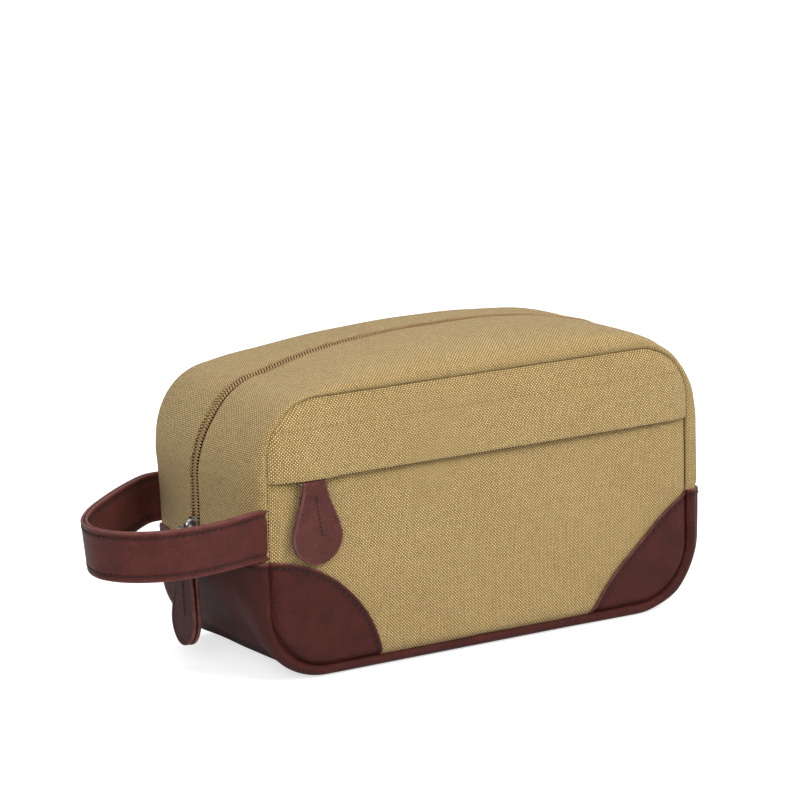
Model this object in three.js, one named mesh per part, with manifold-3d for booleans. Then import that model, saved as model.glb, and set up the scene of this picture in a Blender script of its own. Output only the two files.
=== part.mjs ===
// A shaving kit bag: a canvas body whose mouth zips open along the middle of the top, a leather base
// gusset with corner patches, a zip pocket behind a flap on the front, and a leather loop on one end.
//
// Millimetres. +Z is up, +X is right as seen from the front, +Y is to the back. The origin is the
// middle of the underside. The mouth opens as two halves that fold outward just above the leather.
import * as THREE from 'three';
import { mergeVertices } from 'three/addons/utils/BufferGeometryUtils.js';
import Module from 'manifold-3d';

const wasm = await Module();
wasm.setup();

// Overall sizes, measured between the seams that join the panels to the gusset.
const bagLength = 250;
const bagDepth = 104;
const topSeam = 140; // height of the upper seam above the underside
const bottomSeam = 5; // height of the lower seam
const topCorner = 30; // corner radii of the panels
const bottomCorner = 32;
const leatherTop = 62; // upper edge of the leather base gusset
const flapDepth = 40; // top seam down to the flap's lower edge

// How far the stuffed faces stand out past the seams.
const panelCrown = 1.2;
const flapLift = 3.4; // the flap's lower edge, over the pocket zip
const cornerBulge = 3.3;
const sideBulge = 9.8;
const domeBulge = 16;
const domePeak = 13; // X of the highest point of the top
const domeLeft = 110; // reach of the dome to each side of its peak
const domeRight = 95;
const crownStart = 12; // the side bulge starts to fall this far below the top corners
const leatherProud = 1.5; // the leather stands out past the canvas above it

// Materials by the sheet.
const canvas = 1.2;
const leather = 1.8;
const lining = 0.6;
const tape = 0.6;
const board = 2;
const gap = 0.3; // between neighbouring pieces
const sink = 0.1; // how far shapes of one piece run into each other where they are joined
const hemWidth = 3.6; // canvas edge to the middle of the main zip
const liningClear = 1.5; // lining edge past the side of the main slider
const tapeReach = 12; // tape edge to the middle of a zip

// Zips.
const coilRadius = 1;
const postWidth = 1.2; // the slider's divider, which runs between the two coils
const plate = 0.8; // thickness of a slider's plates
const sliderLength = 11;
const sliderWidth = 9;
const mainSliderRise = 9.5; // centre of the main slider above the leather
const pocketZipRise = 6; // pocket zip above the flap's lower edge
const pocketZipInset = 15; // side seam to the outer end of the pocket zip's stop
const stopLength = 2.5;
const pocketSliderInset = 24; // side seam to the pocket slider

// Pulls: a strip of leather folded over a wire, in the shape of a drop.
const wire = 1.4;
const pullLeather = 1.7;
const foldRoom = 0.5; // between the wire and the leather folded over it
const neckHalf = 6.5;
const bellyHalf = 13.3;
const mainPullLength = 52.1;
const pocketPullLength = 39.8;
const bailDrop = 7; // height of the main pull's wire loop, between bar centres
const pullClear = 1.5; // between a hanging pull and what it hangs beside
const wireClear = 0.4; // more room for the pocket slider's bail round its pull

// Carrying loop.
const strap = 1.7; // thickness of each of its two layers
const strapWidth = 25;
const strapRise = 1; // lower edge of the loop above the leather's upper edge

// Corner patches on the panels.
const patchLength = 63; // along the lower seam
const patchEase = { left: 3, right: 12 }; // how far the curved edge is drawn in from a full arc
const patchLeather = 1.6;

const seamX = bagLength / 2;
const seamY = bagDepth / 2;
const flapEdge = topSeam - flapDepth;
const hingeLine = leatherTop + gap; // the halves part from the base here
const zipStraight = topSeam - topCorner - crownStart; // the main zip runs straight up to this height
const coilSpread = postWidth / 2 + gap + coilRadius; // middle of the zip to the middle of a coil
const tapeEdge = coilSpread - coilRadius; // middle of the zip to the inner edge of a tape
const tapeDepth = canvas + gap; // of the main zip's tape under the canvas
const coilDepth = tapeDepth - gap - coilRadius;
const panelFace = seamY + canvas; // outer face of a panel at the seam
const pocketCoilY = panelFace - coilRadius;
const pocketTapeY = pocketCoilY - coilRadius - gap; // outer face of the pocket zip's tape
const pocketZipHalf = seamX - pocketZipInset;
const pocketSliderX = -(seamX - pocketSliderInset);
const backPlate = coilRadius + gap + tape + gap; // slider's back plate behind the coil's centre
const pocketLiningY = pocketCoilY - backPlate - plate - gap; // outer face of the pocket's inner wall
const frontLiningY = pocketLiningY - lining - gap;
const rearLiningY = seamY - leather;
const liningInset = 1.6; // lining panels stay this far inside the seam

const finish = {
  canvas: new THREE.MeshStandardMaterial({ color: 0xa8895a, roughness: 0.95 }),
  leather: new THREE.MeshStandardMaterial({ color: 0x5b2c25, roughness: 0.5 }),
  lining: new THREE.MeshStandardMaterial({ color: 0x4a3b2c, roughness: 0.8 }),
  tape: new THREE.MeshStandardMaterial({ color: 0x5e452b, roughness: 0.9 }),
  coil: new THREE.MeshStandardMaterial({ color: 0x7a5a36, roughness: 0.55 }),
  board: new THREE.MeshStandardMaterial({ color: 0xb9a98a, roughness: 0.9 }),
  nickel: new THREE.MeshStandardMaterial({ color: 0xb8b8b4, roughness: 0.25, metalness: 1 }),
};

const bag = new THREE.Group();

function add(name, geometry, material, holder = bag) {
  geometry.computeVertexNormals();
  const mesh = new THREE.Mesh(geometry, material);
  mesh.name = name;
  holder.add(mesh);
  return mesh;
}

// A smooth step from 0 at `low` to 1 at `high`.
const ramp = (value, low, high) => THREE.MathUtils.smoothstep(value, low, high);

// How finely curved pieces are divided.
const arcSteps = 5;
const lineStep = 24;

// Turns the faces round if a mapping has mirrored the shape.
function facingOut(geometry) {
  const p = geometry.attributes.position;
  const index = geometry.index.array;
  const [a, b, c] = [new THREE.Vector3(), new THREE.Vector3(), new THREE.Vector3()];
  let volume = 0;
  for (let i = 0; i < index.length; i += 3) {
    a.fromBufferAttribute(p, index[i]);
    b.fromBufferAttribute(p, index[i + 1]);
    c.fromBufferAttribute(p, index[i + 2]);
    volume += a.dot(b.cross(c));
  }
  if (volume < 0) {
    for (let i = 0; i < index.length; i += 3) {
      [index[i + 1], index[i + 2]] = [index[i + 2], index[i + 1]];
    }
  }
  return geometry;
}

// A flexible sheet: a flat box of `long` by `wide` cells, laid on the surface that `faceAt` gives.
// faceAt(i, j) returns the point on the outer face and the direction that faces out.
function sheet(long, wide, thickness, faceAt) {
  const geometry = new THREE.BoxGeometry(long, wide, 1, long, wide, 1);
  const p = geometry.attributes.position;
  for (let k = 0; k < p.count; k++) {
    const i = Math.round(p.getX(k) + long / 2);
    const j = Math.round(p.getY(k) + wide / 2);
    const under = p.getZ(k) > 0 ? 0 : thickness;
    const { point, out } = faceAt(i, j);
    p.setXYZ(k, point.x - out.x * under, point.y - out.y * under, point.z - out.z * under);
  }
  return facingOut(geometry);
}

// Stations along an outline in the X-Z plane, each with the direction that faces out of the bag.
// `turn` is 1 where the outline runs clockwise as seen from the front, and -1 where it runs the
// other way.
function stations(path, turn) {
  const list = [];
  // An arc adds joins of no length, which are left out.
  const curves = path.curves.filter((curve) => curve.getLength() > 1e-6);
  curves.forEach((curve, n) => {
    const steps = curve.isLineCurve ? Math.ceil(curve.getLength() / lineStep) : arcSteps;
    for (let k = n ? 1 : 0; k <= steps; k++) {
      const at = curve.getPoint(k / steps);
      const along = curve.getTangent(k / steps);
      list.push({ x: at.x, z: at.y, outX: -turn * along.y, outZ: turn * along.x });
    }
  });
  return list;
}

// The upper gusset's outline: up the left end, over the top and down the right end.
function upperPath() {
  const path = new THREE.Path();
  const cornerX = seamX - topCorner;
  const cornerZ = topSeam - topCorner;
  path.moveTo(-seamX, hingeLine);
  path.lineTo(-seamX, zipStraight);
  path.lineTo(-seamX, cornerZ);
  path.absarc(-cornerX, cornerZ, topCorner, Math.PI, Math.PI / 2, true);
  path.lineTo(cornerX, topSeam);
  path.absarc(cornerX, cornerZ, topCorner, Math.PI / 2, 0, true);
  path.lineTo(seamX, zipStraight);
  path.lineTo(seamX, hingeLine);
  return path;
}

// The base gusset's outline: down the left end, along the underside and up the right end.
function lowerPath() {
  const path = new THREE.Path();
  const cornerX = seamX - bottomCorner;
  const cornerZ = bottomSeam + bottomCorner;
  path.moveTo(-seamX, leatherTop);
  path.lineTo(-seamX, cornerZ);
  path.absarc(-cornerX, cornerZ, bottomCorner, Math.PI, 1.5 * Math.PI, false);
  path.lineTo(cornerX, bottomSeam);
  path.absarc(cornerX, cornerZ, bottomCorner, 1.5 * Math.PI, 2 * Math.PI, false);
  path.lineTo(seamX, leatherTop);
  return path;
}

// How far the middle of the gusset stands out past the seams.
function upperBulge(at) {
  const reach = at.x < domePeak ? domeLeft : domeRight;
  const fall = Math.min(1, Math.abs(at.x - domePeak) / reach) ** 2.5;
  const top = ramp(at.z, topSeam - topCorner / 2, topSeam);
  const side = 1 - ramp(at.z, zipStraight, zipStraight + topCorner);
  return cornerBulge + (sideBulge - cornerBulge) * side + (domeBulge - cornerBulge) * (1 - fall) * top;
}

function lowerBulge(at) {
  const side = ramp(at.z, bottomSeam + 6, leatherTop - 8);
  return THREE.MathUtils.lerp(bottomSeam, sideBulge + leatherProud, side);
}

// The gusset's section across the bag, 1 in the middle and 0 at the seams: round where the fabric is
// free, and flat with turned edges where it lies on the board.
const flatShare = 0.85; // of the half depth, up to where the edges turn
function roundSection(y) {
  return (1 - Math.abs(y / seamY) ** 3) ** 0.6;
}

function flatSection(y) {
  const turned = Math.max(0, Math.abs(y / seamY) - flatShare) / (1 - flatShare);
  return Math.sqrt(Math.max(0, 1 - turned ** 2));
}

const upperSection = (at, y) => roundSection(y);

function lowerSection(at, y) {
  const side = ramp(at.z, bottomSeam + 2, bottomSeam + bottomCorner + 10);
  return THREE.MathUtils.lerp(flatSection(y), roundSection(y), side);
}

// A strip of the gusset between the rows `across`, `depth` under the gusset's outer face.
function gussetStrip(outline, bulge, section, across, depth, thickness) {
  return sheet(outline.length - 1, across.length - 1, thickness, (i, j) => {
    const at = outline[i];
    const rise = bulge(at) * section(at, across[j]) - depth;
    const point = new THREE.Vector3(at.x + at.outX * rise, across[j], at.z + at.outZ * rise);
    return { point, out: new THREE.Vector3(at.outX, 0, at.outZ) };
  });
}

// Rows from `outer`, at a seam, to `inner`, closer together near the seam where the section turns.
function rows(outer, inner, count = 5) {
  return Array.from({ length: count + 1 }, (_, k) => outer + (inner - outer) * (k / count) ** 1.7);
}

// A round cord along a list of points, each with two directions across it.
function cord(points, radius, sides = 6) {
  const geometry = new THREE.CylinderGeometry(radius, radius, points.length - 1, sides, points.length - 1);
  const p = geometry.attributes.position;
  for (let k = 0; k < p.count; k++) {
    const at = points[Math.round(p.getY(k) + (points.length - 1) / 2)];
    const [u, v] = [p.getX(k), p.getZ(k)];
    p.setXYZ(
      k,
      at.point.x + at.out.x * u + at.side.x * v,
      at.point.y + at.out.y * u + at.side.y * v,
      at.point.z + at.out.z * u + at.side.z * v,
    );
  }
  return facingOut(geometry);
}

// Half of a panel's length at a height, for a panel that stays `inset` inside the seam.
function halfLength(z, inset = 0) {
  const fromBottom = bottomSeam + bottomCorner - z;
  const fromTop = z - (topSeam - topCorner);
  const corner = fromBottom > 0 ? bottomCorner : topCorner;
  const drop = Math.max(fromBottom, fromTop, 0);
  const radius = corner - inset;
  return seamX - corner + Math.sqrt(Math.max(0, radius ** 2 - drop ** 2));
}

// Heights of a panel's rows from `low` to `high`, with more of them round the corners.
function heights(low, high) {
  const list = [low, high];
  for (let k = 0; k <= arcSteps; k++) {
    const turned = 1 - Math.cos((k * Math.PI) / 2 / arcSteps);
    list.push(bottomSeam + bottomCorner * turned, topSeam - topCorner * turned);
  }
  for (let z = bottomSeam + bottomCorner + lineStep; z < topSeam - topCorner - 1; z += lineStep) {
    list.push(z);
  }
  return list.filter((z) => z === low || z === high || (z > low + 1 && z < high - 1)).sort((a, b) => a - b);
}

// An upright panel. `face` gives its outer face's distance from the middle of the bag, and `side` is
// -1 on the front and 1 on the back.
function panel({ low, high, side, thickness, face, inset = 0, columns = 8 }) {
  const rowHeights = heights(low, high);
  return sheet(columns, rowHeights.length - 1, thickness, (i, j) => {
    const z = rowHeights[j];
    const x = halfLength(z, inset) * Math.sin((i / columns - 0.5) * Math.PI);
    return { point: new THREE.Vector3(x, side * face(x, z), z), out: new THREE.Vector3(0, side, 0) };
  });
}

// The crown of a panel between two heights where it is held flat.
function crowned(low, high) {
  return (x, z) => {
    const up = Math.max(0, Math.sin((Math.PI * (z - bottomSeam)) / (high - low)));
    return panelFace + panelCrown * (1 - (x / seamX) ** 2) * up;
  };
}

const pocketCrown = crowned(bottomSeam, flapEdge);
const rearCrown = crowned(bottomSeam, topSeam);

// The flap stands clear of the pocket zip at its lower edge and meets the other seams.
function flapFace(x, z) {
  const up = Math.cos((Math.PI / 2) * (z - flapEdge) / (topSeam - flapEdge));
  return panelFace + flapLift * (1 - Math.min(1, Math.abs(x) / seamX) ** 12) * up;
}

// Outer panels.
const lowTop = hingeLine - gap / 2;
const halfBottom = hingeLine + gap / 2;
const belowFlap = flapEdge - gap;
const pocketCanvas = { side: -1, thickness: canvas, face: pocketCrown };
const flapColumns = 2 * Math.round(bagLength / 40); // enough that it clears the slider behind it
const flapCanvas = { side: -1, thickness: canvas, face: flapFace, columns: flapColumns };
const rearCanvas = { side: 1, thickness: canvas, face: rearCrown };
add('front_panel_lower', panel({ ...pocketCanvas, low: bottomSeam, high: lowTop }), finish.canvas);
add('pocket_face', panel({ ...pocketCanvas, low: halfBottom, high: belowFlap }), finish.canvas);
add('front_flap', panel({ ...flapCanvas, low: flapEdge, high: topSeam }), finish.canvas);
add('rear_panel_lower', panel({ ...rearCanvas, low: bottomSeam, high: lowTop }), finish.canvas);
add('rear_panel', panel({ ...rearCanvas, low: halfBottom, high: topSeam }), finish.canvas);

// The pocket's inner wall, and the lining panels behind it and on the back.
const pocketFloor = bottomSeam + 8;
const pocketTop = flapEdge + pocketZipRise + tapeReach;
const liningFloor = bottomSeam + liningInset;
const liningTop = topSeam - liningInset;
const inner = { thickness: lining, inset: liningInset, columns: 1 };
const wall = { ...inner, side: -1, face: () => pocketLiningY };
const frontLining = { ...inner, side: -1, face: () => frontLiningY };
const rearLining = { ...inner, side: 1, face: () => rearLiningY };
add('pocket_wall_lower', panel({ ...wall, low: pocketFloor, high: lowTop }), finish.lining);
add('pocket_wall', panel({ ...wall, low: halfBottom, high: pocketTop }), finish.lining);
add('front_lining_lower', panel({ ...frontLining, low: liningFloor, high: lowTop }), finish.lining);
add('front_lining', panel({ ...frontLining, low: halfBottom, high: liningTop }), finish.lining);
add('rear_lining_lower', panel({ ...rearLining, low: liningFloor, high: lowTop }), finish.lining);
add('rear_lining', panel({ ...rearLining, low: halfBottom, high: liningTop }), finish.lining);

// Canvas gusset strips with their linings, and the main zip's tapes and coils between them.
const upper = stations(upperPath(), 1);
const seamRow = seamY - gap;
const tapeRows = [tapeReach, (tapeReach + tapeEdge) / 2, tapeEdge];
const liningDepth = tapeDepth + tape + gap;
const liningEdge = sliderWidth / 2 + liningClear; // the lining stops beside the slider
for (const [half, side, liningRow] of [
  ['front', -1, frontLiningY - lining - gap],
  ['rear', 1, rearLiningY - lining - gap],
]) {
  const across = (list) => list.map((y) => side * y);
  const strip = (list, depth, thickness) =>
    gussetStrip(upper, upperBulge, upperSection, across(list), depth, thickness);
  add(`${half}_gusset`, strip(rows(seamRow, hemWidth), 0, canvas), finish.canvas);
  add(`${half}_gusset_lining`, strip(rows(liningRow, liningEdge, 4), liningDepth, lining), finish.lining);
  add(`main_tape_${half}`, strip(tapeRows, tapeDepth, tape), finish.tape);
  const line = upper.slice(1).map((at) => {
    const rise = upperBulge(at) - coilDepth;
    return {
      point: new THREE.Vector3(at.x + at.outX * rise, side * coilSpread, at.z + at.outZ * rise),
      out: new THREE.Vector3(at.outX, 0, at.outZ),
      side: new THREE.Vector3(0, 1, 0),
    };
  });
  line.unshift({ ...line[0], point: line[0].point.clone().setZ(hingeLine + stopLength + gap) });
  add(`main_coil_${half}`, cord(line, coilRadius), finish.coil);
  const stop = new THREE.BoxGeometry(2 * coilRadius, 2 * coilRadius, stopLength);
  stop.translate(-seamX - sideBulge + coilDepth, side * coilSpread, hingeLine + stopLength / 2);
  add(`main_stop_${half}`, stop, finish.nickel);
}

// Leather base gusset, the board that stiffens the underside, and the lining over it.
const lower = stations(lowerPath(), -1);
const lowerStrip = (across, depth, thickness) =>
  gussetStrip(lower, lowerBulge, lowerSection, across, depth, thickness);
const turnedRows = [0.97, 0.92, flatShare, 0.45].map((share) => share * seamY);
const lowerRows = (front, rear) => {
  const within = (limit) => turnedRows.filter((y) => y < limit - 1);
  return [-front, ...within(front).map((y) => -y), 0, ...within(rear).reverse(), rear];
};
add('base_gusset', lowerStrip(lowerRows(seamRow, seamRow), 0, leather), finish.leather);
const boardInset = { end: 4, side: 2 }; // inside the flat of the underside
const flatX = seamX - bottomCorner - boardInset.end;
const flatY = flatShare * seamY - boardInset.side;
const boardShape = new THREE.BoxGeometry(2 * flatX, 2 * flatY, board);
boardShape.translate(0, 0, leather + gap + board / 2);
add('base_board', boardShape, finish.board);
const baseLiningRows = lowerRows(frontLiningY - lining - gap, rearLiningY - lining - gap);
add('base_lining', lowerStrip(baseLiningRows, leather + board + 2 * gap, lining), finish.lining);

// A corner patch: a fan about the panel's lower corner, from the turned seam out to a curved edge.
const patchHeight = lowTop - bottomSeam; // its top is level with the top of the base
function cornerPatch(endSide, side, ease, crown) {
  const [turns, reach] = [10, 2];
  return sheet(turns, reach, patchLeather, (i, j) => {
    const angle = (i / turns) * (Math.PI / 2);
    const [s, c] = [Math.sin(angle), Math.cos(angle)];
    const seam = bottomCorner * (s + c - Math.sqrt(Math.max(0, (s + c) ** 2 - 1)));
    const edge = THREE.MathUtils.lerp(patchHeight, patchLength, i / turns) - ease * Math.sin(2 * angle);
    const radius = THREE.MathUtils.lerp(seam, edge, j / reach);
    const x = endSide * (seamX - radius * s);
    const z = bottomSeam + radius * c;
    const y = side * (crown(x, z) + gap + patchLeather);
    return { point: new THREE.Vector3(x, y, z), out: new THREE.Vector3(0, side, 0) };
  });
}

for (const [face, side, crown] of [['front', -1, pocketCrown], ['rear', 1, rearCrown]]) {
  for (const [end, endSide] of [['left', -1], ['right', 1]]) {
    add(`patch_${face}_${end}`, cornerPatch(endSide, side, patchEase[end], crown), finish.leather);
  }
}

// Pocket zip: tapes and coils behind the flap, with a stop at each end.
const pocketZip = flapEdge + pocketZipRise;
for (const [place, side] of [['lower', -1], ['upper', 1]]) {
  const tapeShape = new THREE.BoxGeometry(2 * pocketZipHalf, tape, tapeReach - tapeEdge);
  tapeShape.translate(0, -(pocketTapeY - tape / 2), pocketZip + (side * (tapeReach + tapeEdge)) / 2);
  add(`pocket_tape_${place}`, tapeShape, finish.tape);
  const coilLength = 2 * (pocketZipHalf - stopLength - gap);
  const coilShape = new THREE.CylinderGeometry(coilRadius, coilRadius, coilLength, 8);
  coilShape.rotateZ(Math.PI / 2);
  coilShape.translate(0, -pocketCoilY, pocketZip + side * coilSpread);
  add(`pocket_coil_${place}`, coilShape, finish.coil);
}
for (const [end, endSide] of [['left', -1], ['right', 1]]) {
  const stop = new THREE.BoxGeometry(stopLength, 2 * coilRadius, 2 * (coilSpread + coilRadius));
  stop.translate(endSide * (pocketZipHalf - stopLength / 2), -pocketCoilY, pocketZip);
  add(`pocket_stop_${end}`, stop, finish.nickel);
}

// Joins closed shapes that run into each other.
function joined(shapes) {
  let whole = null;
  for (const shape of shapes) {
    shape.deleteAttribute('normal');
    shape.deleteAttribute('uv');
    const merged = mergeVertices(shape.index ? shape.toNonIndexed() : shape, 1e-4);
    const piece = new wasm.Manifold(new wasm.Mesh({
      numProp: 3,
      vertProperties: merged.attributes.position.array,
      triVerts: new Uint32Array(merged.index.array),
    }));
    whole = whole ? whole.add(piece) : piece;
  }
  const made = whole.getMesh();
  const geometry = new THREE.BufferGeometry();
  geometry.setAttribute('position', new THREE.BufferAttribute(made.vertProperties, 3));
  geometry.setIndex(new THREE.BufferAttribute(made.triVerts, 1));
  return geometry;
}

function block(x, y, z, sizeX, sizeY, sizeZ) {
  return new THREE.BoxGeometry(sizeX, sizeY, sizeZ).translate(x, y, z);
}

// A slider in its own frame, about the middle of the zip: +X towards the closed zip, +Z outward.
// The plates are open at the sides, so each coil can leave sideways.
const plateFace = coilRadius + gap; // underside of the front plate above the coils' middle
const plateTop = plateFace + plate;
function sliderPlates() {
  const outline = new THREE.Shape();
  const [long, wide, nose] = [sliderLength / 2, sliderWidth / 2, 2];
  outline.moveTo(-long, -wide + nose);
  outline.lineTo(-long + nose, -wide);
  outline.lineTo(long - nose, -wide + nose / 2);
  outline.lineTo(long, -wide + 2 * nose);
  outline.lineTo(long, wide - 2 * nose);
  outline.lineTo(long - nose, wide - nose / 2);
  outline.lineTo(-long + nose, wide);
  outline.lineTo(-long, wide - nose);
  const plateShape = () => new THREE.ExtrudeGeometry(outline, { depth: plate, bevelEnabled: false });
  const postHeight = plateFace + backPlate + plate;
  const post = block(-long + 1.6, 0, (plateFace - backPlate) / 2, 2, postWidth, postHeight);
  return [plateShape().translate(0, 0, plateFace), plateShape().translate(0, 0, -backPlate - plate), post];
}

// A pull: one strip of leather folded over a wire at its top, drop-shaped as seen from outside.
// In its own frame the wire runs along Y through the origin, +X is outward and -Z is down.
function pull(length) {
  const bend = wire / 2 + foldRoom + pullLeather / 2; // middle of the strip to the wire's middle
  const closed = (pullLeather + gap) / 2; // the two leaves meet at the bottom
  const belly = length - bellyHalf;
  const drops = [0, 0.1, 0.25, 0.4, 0.55, 0.7, 0.85, 1].map((share) => share * belly);
  for (let k = 1; k <= 5; k++) {
    drops.push(belly + bellyHalf * Math.sin((k * Math.PI) / 10));
  }
  const leaf = (side) => drops.map((drop) => {
    const x = side * THREE.MathUtils.lerp(bend, closed, drop / length);
    return { x, z: -drop, drop, outX: side, outZ: 0 };
  });
  const fold = [1, 2, 3, 4, 5].map((k) => {
    const angle = (k * Math.PI) / 6;
    const [outX, outZ] = [Math.cos(angle), Math.sin(angle)];
    return { x: bend * outX, z: bend * outZ, drop: 0, outX, outZ };
  });
  const line = [...leaf(1).reverse(), ...fold, ...leaf(-1)];
  const halfWidth = (drop) => {
    if (drop > belly) {
      return Math.max(2, Math.sqrt(Math.max(0, bellyHalf ** 2 - (drop - belly) ** 2)));
    }
    return THREE.MathUtils.lerp(neckHalf, bellyHalf, ramp(drop, belly * 0.1, belly * 1.05));
  };
  return sheet(line.length - 1, 2, pullLeather, (i, j) => {
    const at = line[i];
    const middle = pullLeather / 2;
    const y = (j - 1) * halfWidth(at.drop);
    const point = new THREE.Vector3(at.x + at.outX * middle, y, at.z + at.outZ * middle);
    return { point, out: new THREE.Vector3(at.outX, 0, at.outZ) };
  });
}

// Main slider on the left end, with an arch over it that holds the pull's wire loop.
const pullOut = wire / 2 + foldRoom + pullLeather; // outer face of a folded strip from the wire's middle
const mainZipX = -(seamX + sideBulge - coilDepth);
const mainSliderZ = leatherTop + mainSliderRise;
const mainWireX = -(seamX + sideBulge + leatherProud + pullClear + pullOut - foldRoom);
const archBar = 1.1;
const archSpan = 5;
const archTop = -(mainWireX - mainZipX) + wire / 2 + gap;
const archWidth = 2.2;
const archFoot = 1.5;
const archHeight = archTop + archBar - plateTop + sink;
const archLength = archSpan + 2 * archFoot;
const arch = [
  block(-(archSpan + archFoot) / 2, 0, plateTop - sink + archHeight / 2, archFoot, archWidth, archHeight),
  block((archSpan + archFoot) / 2, 0, plateTop - sink + archHeight / 2, archFoot, archWidth, archHeight),
  block(0, 0, archTop + archBar / 2, archLength, archWidth, archBar),
];
const mainSlider = add('main_slider', joined([...sliderPlates(), ...arch]), finish.nickel);
mainSlider.position.set(mainZipX, 0, mainSliderZ);
mainSlider.quaternion.setFromRotationMatrix(new THREE.Matrix4().makeBasis(
  new THREE.Vector3(0, 0, 1),
  new THREE.Vector3(0, 1, 0),
  new THREE.Vector3(-1, 0, 0),
));

// A rectangular loop of wire: its upper bar passes through the arch, and the pull is folded over
// its lower bar.
const mainBarZ = mainSliderZ - archSpan / 2 + wire + gap;
const loopHalf = neckHalf + gap + wire;
const loop = new THREE.Shape();
loop.moveTo(-loopHalf, wire / 2);
loop.lineTo(-loopHalf, -bailDrop - wire / 2);
loop.lineTo(loopHalf, -bailDrop - wire / 2);
loop.lineTo(loopHalf, wire / 2);
const window = new THREE.Path();
window.moveTo(-loopHalf + wire, -wire / 2);
window.lineTo(loopHalf - wire, -wire / 2);
window.lineTo(loopHalf - wire, -bailDrop + wire / 2);
window.lineTo(-loopHalf + wire, -bailDrop + wire / 2);
loop.holes.push(window);
const loopShape = new THREE.ExtrudeGeometry(loop, { depth: wire, bevelEnabled: false });
loopShape.translate(0, 0, -wire / 2);
loopShape.rotateX(Math.PI / 2);
loopShape.rotateZ(Math.PI / 2);
const mainLoop = add('main_pull_loop', loopShape, finish.nickel);
mainLoop.position.set(mainWireX, 0, mainBarZ);
const mainPull = add('main_pull', pull(mainPullLength), finish.leather);
mainPull.position.set(mainWireX, 0, mainBarZ - bailDrop);
mainPull.rotation.z = Math.PI;

// Pocket slider: its bail comes down behind the flap's edge, and the pull is folded over the bail's bar.
const bailZ = flapEdge - gap - pullOut - sink;
const bailY = -(panelFace + panelCrown + pullClear + pullOut);
const bailHalf = neckHalf + gap + wire + wireClear;
const bailPlateY = -(pocketCoilY + plateTop - plate / 2);
const armInner = bailPlateY + plate / 2;
const armOuter = bailY - wire / 2;
const arm = (side) => block(
  side * (bailHalf - wire / 2), (armInner + armOuter) / 2, bailZ, wire, armInner - armOuter, wire,
);
const bailTop = pocketZip - sliderWidth / 2 + 1;
const bar = new THREE.CylinderGeometry(wire / 2, wire / 2, 2 * bailHalf, 8).rotateZ(Math.PI / 2);
const bail = [
  block(0, bailPlateY, (bailTop + bailZ) / 2, 2 * bailHalf, plate, bailTop - bailZ + wire),
  arm(-1),
  arm(1),
  bar.translate(0, bailY, bailZ),
];
const pocketPlates = sliderPlates().map((shape) => shape.applyMatrix4(new THREE.Matrix4().makeBasis(
  new THREE.Vector3(1, 0, 0),
  new THREE.Vector3(0, 0, 1),
  new THREE.Vector3(0, -1, 0),
)).translate(0, -pocketCoilY, pocketZip));
const pocketSlider = add('pocket_slider', joined([...pocketPlates, ...bail]), finish.nickel);
pocketSlider.position.x = pocketSliderX;
const pocketPull = add('pocket_pull', pull(pocketPullLength), finish.leather);
pocketPull.position.set(pocketSliderX, bailY, bailZ);
pocketPull.rotation.z = -Math.PI / 2;

// Carrying loop: two layers of leather from the front seam round to the back seam of the left end.
// The route is the outer face in plan, as reach past the seam and share of the half depth.
const loopRoute = [
  [7.5, -1.03], [16, -1.095], [33, -1.16], [50, -1.16], [64, -1.075], [75, -0.91], [81, -0.69],
  [81.5, -0.48], [77.5, -0.23], [65.5, 0.1], [48.5, 0.43], [28, 0.77], [8, 1.06],
];
const routeCurve = new THREE.CatmullRomCurve3(
  loopRoute.map(([reach, share]) => new THREE.Vector3(-seamX - reach, share * seamY, 0)),
  false,
  'centripetal',
);
function loopLayer(depth) {
  const steps = 30;
  return sheet(steps, 1, strap, (i, j) => {
    const point = routeCurve.getPointAt(i / steps);
    const along = routeCurve.getTangentAt(i / steps);
    const out = new THREE.Vector3(-along.y, along.x, 0);
    point.addScaledVector(out, -depth);
    point.z = leatherTop + strapRise + j * strapWidth;
    return { point, out };
  });
}
add('handle_outer', loopLayer(0), finish.leather);
add('handle_inner', loopLayer(strap + gap), finish.leather);

export default bag;
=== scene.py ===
# Shaving kit bag: canvas body, leather base, corner patches and carrying loop, two coil zips.
import math
import bpy
import numpy as np
from mathutils import Matrix, Vector


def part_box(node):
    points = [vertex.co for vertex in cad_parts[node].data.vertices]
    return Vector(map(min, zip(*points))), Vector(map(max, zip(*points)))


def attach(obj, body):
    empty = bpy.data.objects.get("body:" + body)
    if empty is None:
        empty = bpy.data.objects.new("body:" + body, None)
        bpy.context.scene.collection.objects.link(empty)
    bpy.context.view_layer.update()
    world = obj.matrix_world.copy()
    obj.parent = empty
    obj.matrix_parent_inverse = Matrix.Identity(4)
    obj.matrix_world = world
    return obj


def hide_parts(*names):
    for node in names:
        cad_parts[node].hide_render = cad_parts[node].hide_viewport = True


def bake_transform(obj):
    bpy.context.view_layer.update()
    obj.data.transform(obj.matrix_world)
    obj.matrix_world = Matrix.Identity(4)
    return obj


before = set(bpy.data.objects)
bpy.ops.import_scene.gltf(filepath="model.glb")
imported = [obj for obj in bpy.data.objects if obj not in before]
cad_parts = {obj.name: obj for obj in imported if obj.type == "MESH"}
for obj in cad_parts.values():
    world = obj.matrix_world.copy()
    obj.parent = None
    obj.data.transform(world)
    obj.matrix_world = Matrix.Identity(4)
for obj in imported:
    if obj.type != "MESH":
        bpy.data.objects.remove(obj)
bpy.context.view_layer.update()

# sizes that every piece shares, in metres, read from the frame where it has them
frontLow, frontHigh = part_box("front_panel_lower")
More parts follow.
